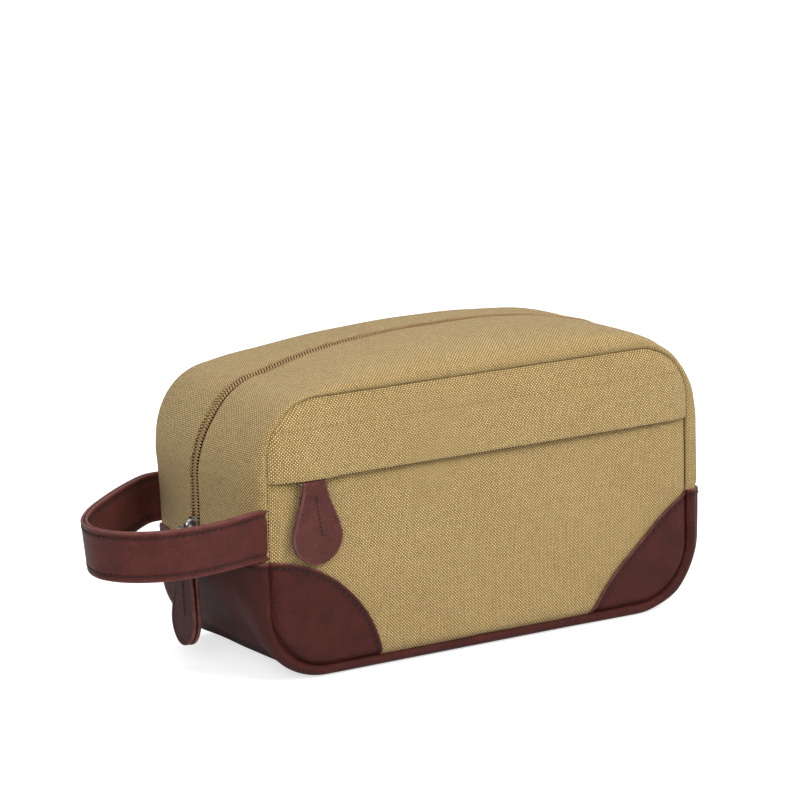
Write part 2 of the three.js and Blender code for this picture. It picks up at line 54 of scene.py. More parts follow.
bag = {
    "seamX": frontHigh.x,
    "bottomSeam": frontLow.z,
    "topSeam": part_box("rear_panel")[1].z,
    "leatherTop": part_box("base_gusset")[1].z,
    "flapEdge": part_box("front_flap")[0].z,
    "topCorner": 0.030,
    "bottomCorner": 0.032,
    "panelFace": 0.0532,  # outer face of a panel beside its seam, from the middle of the bag
    "seamReach": 0.0533,  # where the gusset's edges turn in
    "cornerBulge": 0.0033,
    "sideBulge": 0.0098,
    "domeBulge": 0.016,
    "domePeak": 0.013,
    "domeLeft": 0.110,
    "domeRight": 0.095,
    "leatherProud": 0.0015,
    "crownStart": 0.012,
    "flatShare": 0.85,
    "settled": 0.0028,  # how far the right end sits out above the floor
    "seamInset": 0.0003,
    "blendTop": 0.100,  # height where the reach given with each half of the mouth ends
}


def ramp(value, low, high):
    share = np.clip((value - low) / (high - low), 0, 1)
    return share * share * (3 - 2 * share)


def unit(rows):
    return rows / np.linalg.norm(rows, axis=1, keepdims=True)


# distance run along a line of points
def runOf(points):
    return np.concatenate([[0], np.cumsum(np.linalg.norm(np.diff(points, axis=0), axis=1))])


# values known at the distances run, read at the distances at
def sampled(values, run, at):
    return np.stack([np.interp(at, run, values[:, k]) for k in range(values.shape[1])], axis=1)


# a narrow bell round zero
def bell(distance, width):
    return np.exp(-((distance / width) ** 2))


def newObject(name, data):
    made = bpy.data.objects.new(name, data)
    bpy.context.scene.collection.objects.link(made)
    return made


# even steps between two values, with closer ones beside a turned edge
def spread(low, high, step, rim=0.0012, ends=(True, True)):
    close = np.array([0, 0.08, 0.28, 0.6]) * rim
    start, stop = low + rim * ends[0], high - rim * ends[1]
    middle = np.linspace(start, stop, max(1, round((stop - start) / step)) + 1)
    before = low + close if ends[0] else []
    after = high - close[::-1] if ends[1] else []
    return np.concatenate([before, middle, after])


def giveInput(tree, target, value):
    if isinstance(value, (int, float, tuple)):
        target.default_value = value
    else:
        tree.links.new(value, target)


def calc(tree, operation, *values, clamp=False):
    node = tree.nodes.new("ShaderNodeMath")
    node.operation = operation
    node.use_clamp = clamp
    for place, value in enumerate(values):
        giveInput(tree, node.inputs[place], value)
    return node.outputs[0]


def mixColour(tree, share, first, second, blend="MIX"):
    node = tree.nodes.new("ShaderNodeMix")
    node.data_type = "RGBA"
    node.blend_type = blend
    for place, value in ((0, share), (6, first), (7, second)):
        giveInput(tree, node.inputs[place], value)
    return node.outputs[2]


def noiseOf(tree, vector, scale, detail=2.0, roughness=0.5):
    node = tree.nodes.new("ShaderNodeTexNoise")
    node.inputs["Scale"].default_value = scale
    node.inputs["Detail"].default_value = detail
    node.inputs["Roughness"].default_value = roughness
    tree.links.new(vector, node.inputs["Vector"])
    return node.outputs["Fac"]


def smoothStep(tree, value, low, high):
    node = tree.nodes.new("ShaderNodeMapRange")
    node.interpolation_type = "SMOOTHSTEP"
    node.inputs["From Min"].default_value = low
    node.inputs["From Max"].default_value = high
    tree.links.new(value, node.inputs["Value"])
    return node.outputs["Result"]


def newGroup(name, inputs, outputs):
    tree = bpy.data.node_groups.new(name, "ShaderNodeTree")
    for label, kind, value in inputs:
        made = tree.interface.new_socket(name=label, in_out="INPUT", socket_type=kind)
        if value is not None:
            made.default_value = value
    for label, kind in outputs:
        tree.interface.new_socket(name=label, in_out="OUTPUT", socket_type=kind)
    return tree, tree.nodes.new("NodeGroupInput").outputs, tree.nodes.new("NodeGroupOutput").inputs


# a plain weave: threads that pass over and under each other, each with a tone of its own, with painted
# shade in the gaps between them and painted highlights where the warp lies on top
def weaveGroup():
    tree, given, out = newGroup(
        "plainWeave",
        [
            ("Vector", "NodeSocketVector", None),
            ("Threads Per Metre", "NodeSocketFloat", 870.0),
            ("Thread", "NodeSocketColor", (0.5, 0.4, 0.2, 1)),
            ("Pale Thread", "NodeSocketColor", (0.7, 0.6, 0.4, 1)),
            ("Gap Shade", "NodeSocketColor", (0.1, 0.07, 0.03, 1)),
        ],
        [("Colour", "NodeSocketColor"), ("Height", "NodeSocketFloat"), ("Slub", "NodeSocketFloat")],
    )
    wander = tree.nodes.new("ShaderNodeTexNoise")
    wander.inputs["Scale"].default_value = 160.0
    tree.links.new(given["Vector"], wander.inputs["Vector"])
    centred = tree.nodes.new("ShaderNodeVectorMath")
    centred.operation = "MULTIPLY_ADD"
    tree.links.new(wander.outputs["Color"], centred.inputs[0])
    centred.inputs[1].default_value = (0.0005, 0.0005, 0)
    tree.links.new(given["Vector"], centred.inputs[2])
    scaled = tree.nodes.new("ShaderNodeVectorMath")
    scaled.operation = "SCALE"
    tree.links.new(centred.outputs[0], scaled.inputs[0])
    tree.links.new(given["Threads Per Metre"], scaled.inputs["Scale"])
    split = tree.nodes.new("ShaderNodeSeparateXYZ")
    tree.links.new(scaled.outputs[0], split.inputs[0])
    u, v = split.outputs[0], split.outputs[1]
    warp, weft = calc(tree, "FLOOR", u), calc(tree, "FLOOR", v)
    overWarp = calc(tree, "FLOORED_MODULO", calc(tree, "ADD", warp, weft), 2.0)
    acrossWarp = calc(tree, "ABSOLUTE", calc(tree, "SINE", calc(tree, "MULTIPLY", u, math.pi)))
    acrossWeft = calc(tree, "ABSOLUTE", calc(tree, "SINE", calc(tree, "MULTIPLY", v, math.pi)))

    def thread(across, along):
        crest = calc(tree, "POWER", across, 0.6)
        rise = calc(tree, "MULTIPLY_ADD", calc(tree, "POWER", along, 0.8), 0.65, 0.35)
        return calc(tree, "MULTIPLY", crest, rise)

    fromWarp = calc(tree, "MULTIPLY", thread(acrossWarp, acrossWeft), overWarp)
    underWarp = calc(tree, "SUBTRACT", 1.0, overWarp)
    height = calc(tree, "MULTIPLY_ADD", thread(acrossWeft, acrossWarp), underWarp, fromWarp)

    def toneOf(index, other):
        place = tree.nodes.new("ShaderNodeCombineXYZ")
        tree.links.new(index, place.inputs[0])
        tree.links.new(calc(tree, "MULTIPLY", other, 0.06), place.inputs[1])
        return noiseOf(tree, place.outputs[0], 0.93, 1.0)

    warpTone = calc(tree, "MULTIPLY", toneOf(warp, v), overWarp)
    slub = calc(tree, "MULTIPLY_ADD", toneOf(weft, u), underWarp, warpTone)
    cell = tree.nodes.new("ShaderNodeTexWhiteNoise")
    cell.noise_dimensions = "2D"
    place = tree.nodes.new("ShaderNodeCombineXYZ")
    tree.links.new(warp, place.inputs[0])
    tree.links.new(weft, place.inputs[1])
    tree.links.new(place.outputs[0], cell.inputs["Vector"])
    tone = calc(tree, "MULTIPLY_ADD", cell.outputs["Value"], 0.22, calc(tree, "MULTIPLY", slub, 0.35))
    tone = calc(tree, "MULTIPLY_ADD", overWarp, 0.5, tone)  # painted highlight: paler where the warp lies on top
    colour = mixColour(tree, smoothStep(tree, tone, 0.15, 1.0), given["Thread"], given["Pale Thread"])
    # painted shade: the low parts of the weave, between the threads, take the gap colour
    colour = mixColour(tree, smoothStep(tree, height, 0.15, 0.85), given["Gap Shade"], colour)
    tree.links.new(colour, out["Colour"])
    tree.links.new(height, out["Height"])
    tree.links.new(slub, out["Slub"])
    return tree


# fine leather grain: small cells with creases between them, over a slow change of tone
def grainGroup():
    tree, given, out = newGroup(
        "leatherGrain",
        [("Vector", "NodeSocketVector", None), ("Cells Per Metre", "NodeSocketFloat", 1100.0)],
        [("Crease", "NodeSocketFloat"), ("Mottle", "NodeSocketFloat"), ("Height", "NodeSocketFloat")],
    )
    cells = tree.nodes.new("ShaderNodeTexVoronoi")
    cells.feature = "DISTANCE_TO_EDGE"
    tree.links.new(given["Vector"], cells.inputs["Vector"])
    tree.links.new(given["Cells Per Metre"], cells.inputs["Scale"])
    crease = smoothStep(tree, cells.outputs["Distance"], 0.0, 0.22)
    fine = noiseOf(tree, given["Vector"], 2400.0, 2.0)
    patchy = noiseOf(tree, given["Vector"], 70.0, 4.0, 0.6)
    tree.links.new(crease, out["Crease"])
    tree.links.new(patchy, out["Mottle"])
    rough = calc(tree, "MULTIPLY_ADD", patchy, 0.5, calc(tree, "MULTIPLY", fine, 0.35))
    tree.links.new(calc(tree, "MULTIPLY_ADD", crease, 0.5, rough), out["Height"])
    return tree


# a band along an edge: 1 at the edge, falling away from it, broken up by noise
def edgeBandGroup():
    tree, given, out = newGroup(
        "edgeBandMask",
        [
            ("Vector", "NodeSocketVector", None),
            ("Edge Distance", "NodeSocketFloat", 0.01),
            ("Reach", "NodeSocketFloat", 0.001),
        ],
        [("Mask", "NodeSocketFloat")],
    )
    near = calc(tree, "DIVIDE", given["Edge Distance"], given["Reach"])
    fall = calc(tree, "SUBTRACT", 1.0, near, clamp=True)
    broken = smoothStep(tree, noiseOf(tree, given["Vector"], 190.0, 3.0), 0.25, 0.7)
    shown = calc(tree, "MULTIPLY_ADD", broken, 0.6, 0.4)
    tree.links.new(calc(tree, "MULTIPLY", fall, shown), out["Mask"])
    return tree


# a little dust and fade, slow over the surface
def fadeGroup():
    tree, given, out = newGroup(
        "slowFade",
        [("Vector", "NodeSocketVector", None), ("Strength", "NodeSocketFloat", 0.1)],
        [("Mask", "NodeSocketFloat")],
    )
    broad = noiseOf(tree, given["Vector"], 22.0, 3.0, 0.55)
    mask = smoothStep(tree, broad, 0.3, 0.75)
    tree.links.new(calc(tree, "MULTIPLY", mask, given["Strength"]), out["Mask"])
    return tree


groups = {"weave": weaveGroup(), "grain": grainGroup(), "edgeBand": edgeBandGroup(), "fade": fadeGroup()}


def newMaterial(name, roughness, metallic=0.0):
    material = bpy.data.materials.new(name)
    material.use_nodes = True
    shader = material.node_tree.nodes["Principled BSDF"]
    shader.inputs["Roughness"].default_value = roughness
    shader.inputs["Metallic"].default_value = metallic
    return material, material.node_tree, shader


def useGroup(tree, key, values):
    node = tree.nodes.new("ShaderNodeGroup")
    node.node_tree = groups[key]
    for label, value in values.items():
        giveInput(tree, node.inputs[label], value)
    return node.outputs


def ownMap(tree):
    node = tree.nodes.new("ShaderNodeUVMap")
    node.uv_map = "cut"
    return node.outputs[0]


def objectPlace(tree):
    return tree.nodes.new("ShaderNodeTexCoord").outputs["Object"]


def edgeOf(tree):
    node = tree.nodes.new("ShaderNodeAttribute")
    node.attribute_name = "edge"
    return node.outputs["Fac"]


def addBump(tree, shader, height, distance, strength=1.0):
    node = tree.nodes.new("ShaderNodeBump")
    node.inputs["Distance"].default_value = distance
    node.inputs["Strength"].default_value = strength
    tree.links.new(height, node.inputs["Height"])
    tree.links.new(node.outputs[0], shader.inputs["Normal"])


# woven cloth in any tone and thread count
def clothMaterial(name, threads, thread, pale, gap, faded, roughness=0.92, bump=0.00035, sheen=0.12):
    material, tree, shader = newMaterial(name, roughness)
    vector = ownMap(tree)
    tones = {"Thread": thread, "Pale Thread": pale, "Gap Shade": gap}
    weave = useGroup(tree, "weave", {"Vector": vector, "Threads Per Metre": threads, **tones})
    fade = useGroup(tree, "fade", {"Vector": vector, "Strength": 0.35})
    colour = mixColour(tree, fade["Mask"], weave["Colour"], faded, "MULTIPLY")
    # darker towards its edges: the cloth is mixed there towards its gap colour
    edgeBand = useGroup(tree, "edgeBand", {"Vector": vector, "Edge Distance": edgeOf(tree), "Reach": 0.0016})
    colour = mixColour(tree, calc(tree, "MULTIPLY", edgeBand["Mask"], 0.35), colour, gap)
    tree.links.new(colour, shader.inputs["Base Color"])
    rough = calc(tree, "MULTIPLY_ADD", weave["Slub"], 0.08, roughness - 0.06)
    tree.links.new(rough, shader.inputs["Roughness"])
    shader.inputs["Sheen Weight"].default_value = sheen
    shader.inputs["Sheen Roughness"].default_value = 0.6
    shader.inputs["Specular IOR Level"].default_value = 0.25
    addBump(tree, shader, weave["Height"], bump)
    return material


stitchGroove = {"at": 0.0030, "width": 0.0009}  # pressed line beside a leather edge, darkened with painted shade


def leatherMaterial(name, colours, roughness=0.47, grooveShade=0.75, grainDepth=0.00045):
    material, tree, shader = newMaterial(name, roughness)
    vector = ownMap(tree)
    grain = useGroup(tree, "grain", {"Vector": vector})
    mottle = smoothStep(tree, grain["Mottle"], 0.25, 0.75)
    colour = mixColour(tree, mottle, colours["deep"], colours["main"])
    creases = calc(tree, "MULTIPLY_ADD", grain["Crease"], -0.42, 0.42)
    colour = mixColour(tree, creases, colour, colours["crease"])
    distance = edgeOf(tree)
    # painted shade in the pressed stitch groove: the leather is mixed there towards its crease colour
    away = calc(tree, "SUBTRACT", distance, stitchGroove["at"])
    away = calc(tree, "DIVIDE", away, stitchGroove["width"])
    square = calc(tree, "MULTIPLY", away, away)
    groove = calc(tree, "EXPONENT", calc(tree, "MULTIPLY", square, -1.0))
    colour = mixColour(tree, calc(tree, "MULTIPLY", groove, grooveShade), colour, colours["crease"])
    # painted highlight: a paler band along the leather's turned edges, in its edge colour
    edgeBand = useGroup(tree, "edgeBand", {"Vector": vector, "Edge Distance": distance, "Reach": 0.0015})
    colour = mixColour(tree, calc(tree, "MULTIPLY", edgeBand["Mask"], 0.85), colour, colours["edge"])
    tree.links.new(colour, shader.inputs["Base Color"])
    rough = calc(tree, "MULTIPLY_ADD", grain["Mottle"], 0.22, roughness - 0.13)
    tree.links.new(calc(tree, "MULTIPLY_ADD", edgeBand["Mask"], -0.08, rough), shader.inputs["Roughness"])
    shader.inputs["Specular IOR Level"].default_value = 0.2
    addBump(tree, shader, grain["Height"], grainDepth)
    return material


def coilMaterial():
    material, tree, shader = newMaterial("coilNylon", 0.42)
    vector = objectPlace(tree)
    fade = useGroup(tree, "fade", {"Vector": vector, "Strength": 0.5})
    fine = noiseOf(tree, vector, 900.0, 2.0)
    colour = mixColour(tree, fine, (0.56, 0.37, 0.165, 1), (0.34, 0.21, 0.085, 1))
    colour = mixColour(tree, fade["Mask"], colour, (0.75, 0.68, 0.6, 1), "MULTIPLY")
    tree.links.new(colour, shader.inputs["Base Color"])
    tree.links.new(calc(tree, "MULTIPLY_ADD", fine, 0.2, 0.32), shader.inputs["Roughness"])
    addBump(tree, shader, fine, 0.00005)
    return material


def threadMaterial(name, dark, light):
    material, tree, shader = newMaterial(name, 0.7)
    vector = objectPlace(tree)
    twist = tree.nodes.new("ShaderNodeTexWave")
    twist.inputs["Scale"].default_value = 1500.0
    twist.inputs["Distortion"].default_value = 2.0
    tree.links.new(vector, twist.inputs["Vector"])
    tree.links.new(mixColour(tree, twist.outputs["Fac"], dark, light), shader.inputs["Base Color"])
    tree.links.new(calc(tree, "MULTIPLY_ADD", twist.outputs["Fac"], 0.15, 0.6), shader.inputs["Roughness"])
    addBump(tree, shader, twist.outputs["Fac"], 0.00005)
    return material


def nickelMaterial():
    material, tree, shader = newMaterial("nickelPlate", 0.22, 1.0)
    vector = objectPlace(tree)
    fine = noiseOf(tree, vector, 650.0, 3.0)
    broad = noiseOf(tree, vector, 120.0, 2.0)
    tone = mixColour(tree, broad, (0.38, 0.37, 0.36, 1), (0.55, 0.54, 0.52, 1))
    tree.links.new(tone, shader.inputs["Base Color"])
    tree.links.new(calc(tree, "MULTIPLY_ADD", fine, 0.18, 0.13), shader.inputs["Roughness"])
    addBump(tree, shader, fine, 0.00003, 0.6)
    return material


def boardMaterial():
    material, tree, shader = newMaterial("stiffener", 0.85)
    vector = objectPlace(tree)
    pulp = noiseOf(tree, vector, 320.0, 5.0, 0.7)
    tone = mixColour(tree, pulp, (0.3, 0.26, 0.2, 1), (0.46, 0.42, 0.34, 1))
    tree.links.new(tone, shader.inputs["Base Color"])
    tree.links.new(calc(tree, "MULTIPLY_ADD", pulp, 0.15, 0.75), shader.inputs["Roughness"])
    addBump(tree, shader, pulp, 0.0001)
    return material


# tones of each leather: main and deep are its own mottled colour, crease the dark of its grain and the
# painted shade of its stitch groove, edge a painted highlight along its turned edges
leatherTones = {
    "main": (0.088, 0.0155, 0.0105, 1),
    "deep": (0.052, 0.0085, 0.0060, 1),
    "crease": (0.014, 0.0025, 0.002, 1),
    "edge": (0.23, 0.090, 0.080, 1),
}
loopTones = {
    **leatherTones,
    "main": (0.128, 0.0285, 0.0235, 1),
    "deep": (0.084, 0.0175, 0.0140, 1),
    "edge": (0.20, 0.068, 0.060, 1),
}
pullTones = {
    **leatherTones,
    "main": (0.155, 0.046, 0.040, 1),
    "deep": (0.105, 0.029, 0.0245, 1),
    "edge": (0.24, 0.115, 0.108, 1),
}
finish = {
    # each cloth's third colour is the painted shade in the gaps between its threads
    "canvas": clothMaterial(
        "khakiCanvas", 1200.0, (0.28, 0.178, 0.057, 1), (0.90, 0.66, 0.275, 1), (0.045, 0.026, 0.008, 1),
        (0.86, 0.80, 0.70, 1),
    ),
    "lining": clothMaterial(
        "brownLining", 1900.0, (0.055, 0.035, 0.022, 1), (0.10, 0.066, 0.042, 1), (0.02, 0.012, 0.008, 1),
        (0.85, 0.8, 0.75, 1), roughness=0.75, bump=0.0001, sheen=0.1,
    ),
    "tape": clothMaterial(
        "zipTape", 2200.0, (0.075, 0.042, 0.022, 1), (0.13, 0.076, 0.042, 1), (0.03, 0.016, 0.009, 1),
        (0.85, 0.8, 0.75, 1), roughness=0.85, bump=0.00012, sheen=0.1,
    ),
    "leather": leatherMaterial("brownLeather", leatherTones),
    "loop": leatherMaterial("loopLeather", loopTones, 0.47, 0.3),
    "pull": leatherMaterial("pullLeather", pullTones, 0.43, 0.0, 0.0007),
    "coil": coilMaterial(),
    # near-black stitch thread: dark brown thread, darkened further as painted shade of the stitch holes
    "darkThreadWithShade": threadMaterial("darkThreadWithShade", (0.010, 0.004, 0.0035, 1), (0.024, 0.009, 0.008, 1)),
    "paleThread": threadMaterial("paleThread", (0.26, 0.15, 0.045, 1), (0.45, 0.29, 0.10, 1)),
    "nickel": nickelMaterial(),
    "board": boardMaterial(),
}
print("materials made")


# joins a grid of face points to the same grid under it, the two meeting in a turned edge
# grooves: distance from the edge, depth and width of each
def laySheet(
    name, face, cut, thickness, rim=0.0012, measured="all", grooves=(), bothSides=False, flip=False
):
    rows, columns = face.shape[:2]
    normal = np.cross(np.gradient(face, axis=0), np.gradient(face, axis=1))
    normal /= np.maximum(np.linalg.norm(normal, axis=2, keepdims=True), 1e-12)
    if flip:
        normal = -normal

    def toBorder(axis):
        steps = np.linalg.norm(np.diff(face, axis=axis), axis=2)
        start = np.zeros((1, columns) if axis == 0 else (rows, 1))
        run = np.concatenate([start, np.cumsum(steps, axis=axis)], axis=axis)
        return np.minimum(run, (run[-1:] if axis == 0 else run[:, -1:]) - run)

    ends, sides = toBorder(0), toBorder(1)
    border = np.minimum(ends, sides)
    edge = {"all": border, "ends": ends, "sides": sides}[measured]
    half = thickness / 2 * np.sqrt(np.clip(1 - (1 - np.clip(border / rim, 0, 1)) ** 2, 0, 1))
    dent = np.zeros_like(edge)
    for at, depth, wide in grooves:
        dent = dent + depth * bell(edge - at, wide)
    outer = face - normal * (thickness / 2 - half + dent)[..., None]
    inner = face - normal * (thickness / 2 + half - dent * bothSides)[..., None]
    count = rows * columns
    outerId = np.arange(count).reshape(rows, columns)
    innerId = outerId + count
    rimMask = np.zeros((rows, columns), bool)
    rimMask[[0, -1], :] = True
    rimMask[:, [0, -1]] = True
    innerId = np.where(rimMask, outerId, innerId)

    def quads(ids):
        return np.stack([ids[:-1, :-1], ids[1:, :-1], ids[1:, 1:], ids[:-1, 1:]], axis=-1).reshape(-1, 4)

    front, back = quads(outerId), quads(innerId)[:, ::-1]
    if flip:
        front, back = front[:, ::-1], back[:, ::-1]
    faces = np.concatenate([front, back])
    used, faces = np.unique(faces, return_inverse=True)
    points = np.concatenate([outer.reshape(-1, 3), inner.reshape(-1, 3)])[used]
    ownCut = np.tile(cut.reshape(-1, 2), (2, 1))[used]
    ownEdge = np.tile(edge.ravel(), 2)[used]
    return meshPiece(name, points, faces.reshape(-1, 4).tolist(), ownCut, ownEdge)


def meshPiece(name, points, faces, cut=None, edge=None):
    mesh = bpy.data.meshes.new(name)
    mesh.from_pydata(points.tolist(), [], faces)
    if cut is not None:
        corner = np.empty(len(mesh.loops), np.int32)
        mesh.loops.foreach_get("vertex_index", corner)
        mesh.uv_layers.new(name="cut").data.foreach_set("uv", cut[corner].astype(np.float32).ravel())
    if edge is not None:
        mesh.attributes.new("edge", "FLOAT", "POINT").data.foreach_set("value", edge.astype(np.float32))
    mesh.shade_smooth()
    mesh.validate()
    return newObject(name, mesh)


# gives a piece its finish and hides the CAD nodes it stands for; a piece given a second body only has its
# transform applied, the others are parented to the body they move with
def fit(piece, material, slot, nodes=(), body="base", joinedTo=None, reach=None):
    piece.data.materials.clear()
    piece.data.materials.append(finish[material])
    if nodes:
        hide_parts(*nodes)
    if joinedTo:
        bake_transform(piece)
    else:
        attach(piece, body)
    return piece


def mouthReach(side):
    y = side * bag["seamReach"]
    return (0, y, bendStart()), (0, y, bag["blendTop"])


def bendStart():
    return bag["leatherTop"] - 0.001


def upperBulge(x, z):
    reach = np.where(x < bag["domePeak"], bag["domeLeft"], bag["domeRight"])
    fall = np.minimum(1, np.abs(x - bag["domePeak"]) / reach) ** 2.5
    straight = bag["topSeam"] - bag["topCorner"] - bag["crownStart"]
    top = ramp(z, bag["topSeam"] - bag["topCorner"] / 2, bag["topSeam"])
    side = 1 - ramp(z, straight, straight + bag["topCorner"])
    sideRise = (bag["sideBulge"] - bag["cornerBulge"]) * side
    return bag["cornerBulge"] + sideRise + (bag["domeBulge"] - bag["cornerBulge"]) * (1 - fall) * top


def lowerBulge(x, z):
    side = ramp(z, bag["bottomSeam"] + 0.011, bag["leatherTop"] + 0.002)
    full = bag["sideBulge"] + bag["leatherProud"]
    settled = ramp(x, 0.09, 0.1) * ramp(z, 0.0062, 0.014) * (1 - ramp(z, 0.03, 0.06))
    return bag["bottomSeam"] + (full - bag["bottomSeam"]) * side + bag["settled"] * settled


def roundSection(y):
    return np.clip(1 - np.abs(y / bag["seamReach"]) ** 3, 0, 1) ** 0.6


# the gusset is drawn in where the loop's rear end is sewn
def pinched(x, z, y):
    place = ramp(y, 0.012, 0.045) * (1 - ramp(z, 0.066, 0.105)) * ramp(-x, 0.09, 0.12)
    return 1 - rollLook["pinch"] * place


def upperSection(x, z, y):
    return pinched(x, z, y) * fuller(roundSection(y), rollShare(x, z, y), y)


def lowerSection(x, z, y):
    turned = np.clip(np.abs(y / bag["seamReach"]) - bag["flatShare"], 0, None) / (1 - bag["flatShare"])
    flat = np.sqrt(np.clip(1 - turned ** 2, 0, 1))
    side = ramp(z, bag["bottomSeam"] + 0.002, bag["bottomSeam"] + bag["bottomCorner"] + 0.010)
    corner = ramp(np.abs(x), 0.098, 0.112) * (1 - ramp(z, 0.022, 0.050))  # slack leather past the board
    slack = 1 - 0.85 * corner * (1 - ramp(np.abs(y), 0.026, 0.049))
    share = np.maximum(rollShare(x, z, y), rollLook["least"])
    return pinched(x, z, y) * slack * fuller(flat + (roundSection(y) - flat) * side, share, y)


# the seam's outline from one end of the bag to the other: points and outward directions
def seamOutline(start, seam, corner, step=0.003):
    rise = 1 if seam > start else -1
    upright = abs(seam - start) - corner
    turn = corner * math.pi / 2
    across = 2 * (bag["seamX"] - corner)
    whole = 2 * upright + 2 * turn + across
    run = spread(0, whole, step, rim=0.0014)
    near = np.minimum(run, whole - run)  # the outline is the same from both ends
    angle = np.clip((near - upright) / corner, 0, math.pi / 2)
    x = bag["seamX"] - corner + corner * np.cos(angle) - np.clip(near - upright - turn, 0, None)
    h = np.where(near < upright, near, upright + corner * np.sin(angle))
    left = np.where(run < whole / 2, -1.0, 1.0)
    outX, outZ = left * np.cos(angle), rise * np.sin(angle)
    return {"run": run, "x": left * x, "z": start + rise * h, "outX": outX, "outZ": outZ}


rollLook = {
    "canvas": 0.0009,
    "leather": 0.0014,
    "height": 0.006,
    "share": 0.7,
    "least": 0.25,  # the leather's roll never falls below this share
    "radius": 0.0042,
    "wrap": np.array([0.0024, 0.0018, 0.0010, 0.0004]),  # cloth turned down into the seam
    "wrapIn": 0.0009,
    "tuckIn": 0.0016,
    "pinch": 0.52,
}


# how full the roll beside a seam is: nothing at the end where the loop is sewn on
def rollShare(x, z, y):
    right = ramp(x, 0.02, 0.10)
    top = 0.4 * ramp(z, bag["topSeam"] - 0.048, bag["topSeam"] - 0.030) * ramp(-y, -0.030, 0.0)
    return np.maximum(right, np.maximum(top, 0.3 * ramp(x, -0.105, -0.085)))


def fuller(section, share, y):
    inside = np.clip((bag["seamReach"] - np.abs(y)) / rollLook["radius"], 0, 1)
    quarter = np.sqrt(np.clip(1 - (1 - inside) ** 2, 0, 1))
    return section * (1 - share * rollLook["share"]) + quarter * share * rollLook["share"]


def stripFace(outline, bulge, section, across, depth, ripple=0.0, swell=0.0):
    x, z = outline["x"][:, None], outline["z"][:, None]
    y = across[None, :]
    shape = section(x, z, y)
    over = np.clip(np.abs(y) - bag["seamReach"], 0, None)
    out = bulge(x, z) * shape - depth - rollLook["wrapIn"] * ramp(over, 0, 0.001)
    run = outline["run"][:, None]
    slow = np.sin(run * 61 + y * 35) + 0.6 * np.sin(run * 143 - y * 57 + 1.3) + 0.5 * np.sin(run * 26 + 2.1)
    out = out + ripple * slow * shape
    share, hidden = 1.0, 0.0
    if swell < rollLook["leather"]:
        share = np.maximum(ramp(x, -0.10, -0.07), ramp(z, 0.092, 0.102))
    if swell == rollLook["canvas"]:
        belowTop = 1 - ramp(z, bag["leatherTop"] - 0.0006, bag["leatherTop"] + 0.001)
        hidden = rollLook["tuckIn"] * belowTop
    swollen = swell * share * np.sin(math.pi * np.clip((out + depth) / rollLook["height"], 0, 1))
    y = y + np.sign(y) * ((swollen - hidden) * ramp(np.abs(y), 0.030, 0.045) - 2 * over)
    outX, outZ = outline["outX"][:, None], outline["outZ"][:, None]
    face = np.stack([x + outX * out, y + 0 * out, z + outZ * out], axis=-1)
    gap = np.linalg.norm(np.diff(face, axis=1), axis=2)
    width = np.concatenate([np.zeros((len(face), 1)), np.cumsum(gap, axis=1)], axis=1)
    return face, np.stack([run + 0 * width, width], axis=-1)


def seamDistance(x, z):
    middle, tall = (bag["topSeam"] + bag["bottomSeam"]) / 2, (bag["topSeam"] - bag["bottomSeam"]) / 2
    corner = np.where(z > middle, bag["topCorner"], bag["bottomCorner"])
    acrossX = np.abs(x) - (bag["seamX"] - corner)
    acrossZ = np.abs(z - middle) - (tall - corner)
    outside = np.hypot(np.maximum(acrossX, 0), np.maximum(acrossZ, 0))
    return corner - outside - np.minimum(np.maximum(acrossX, acrossZ), 0)


def halfLength(z, inset):
    fromBottom = bag["bottomSeam"] + bag["bottomCorner"] - z
    fromTop = z - (bag["topSeam"] - bag["topCorner"])
    corner = np.where(fromBottom > 0, bag["bottomCorner"], bag["topCorner"])
    drop = np.clip(np.maximum(fromBottom, fromTop), 0, None)
    return bag["seamX"] - corner + np.sqrt(np.clip((corner - inset) ** 2 - drop ** 2, 0, None))


# rows of a panel, close together where the corners turn
def panelRows(low, high, step=0.003):
    turn = 1 - np.cos(np.radians(np.arange(3, 90, 5)))
    inset = bag["seamInset"]
    lowerTurn = bag["bottomSeam"] + inset + (bag["bottomCorner"] - inset) * turn
    upperTurn = bag["topSeam"] - inset - (bag["topCorner"] - inset) * turn
    straight = np.arange(bag["bottomSeam"] + bag["bottomCorner"], bag["topSeam"] - bag["topCorner"], step)
    rims = [low + 0.0001, low + 0.0004, low + 0.0008, high - 0.0008, high - 0.0004, high - 0.0001]
    inside = np.concatenate([lowerTurn, straight, upperTurn])
    inside = inside[(inside > low + 0.0012) & (inside < high - 0.0012)]
    return np.unique(np.concatenate([[low, high], rims, inside]))


def panelGrid(low, high, side, bulge, inset=bag["seamInset"], step=0.0035):
    z = panelRows(low, high)[:, None]
    share = spread(-bag["seamX"], bag["seamX"], step)[None, :] / bag["seamX"]
    x = halfLength(z, inset) * share
    z = z + 0 * x
    face = np.stack([x, side * bulge(x, z), z], axis=-1)
    return face, np.stack([x, z], axis=-1)


panelLook = {
    "cloth": 0.0012,
    "crown": 0.0020,
    "dip": 0.0022,
    "dipReach": 0.0055,
    "ripple": 0.00022,
    "underFlap": 0.0015,  # how far the pocket's face goes up behind the flap
}


def seamDip(x, z):
    return panelLook["dip"] * (1 - ramp(seamDistance(x, z), 0, panelLook["dipReach"])) ** 1.5


# the crown of a panel that is held flat at two heights, with its dip into the seam
def crowned(low, high):
    def bulge(x, z):
        up = np.clip(np.sin(math.pi * (z - bag["bottomSeam"]) / (high - low)), 0, 1) ** 1.3
        crown = panelLook["crown"] * (1 - (x / bag["seamX"]) ** 2) * up
        slow = np.sin(x * 47 + z * 31) * np.sin(z * 83 + 0.7) + 0.5 * np.sin(x * 97 - z * 60 + 2.0)
        return bag["panelFace"] + crown - seamDip(x, z) + panelLook["ripple"] * slow * up

    return bulge


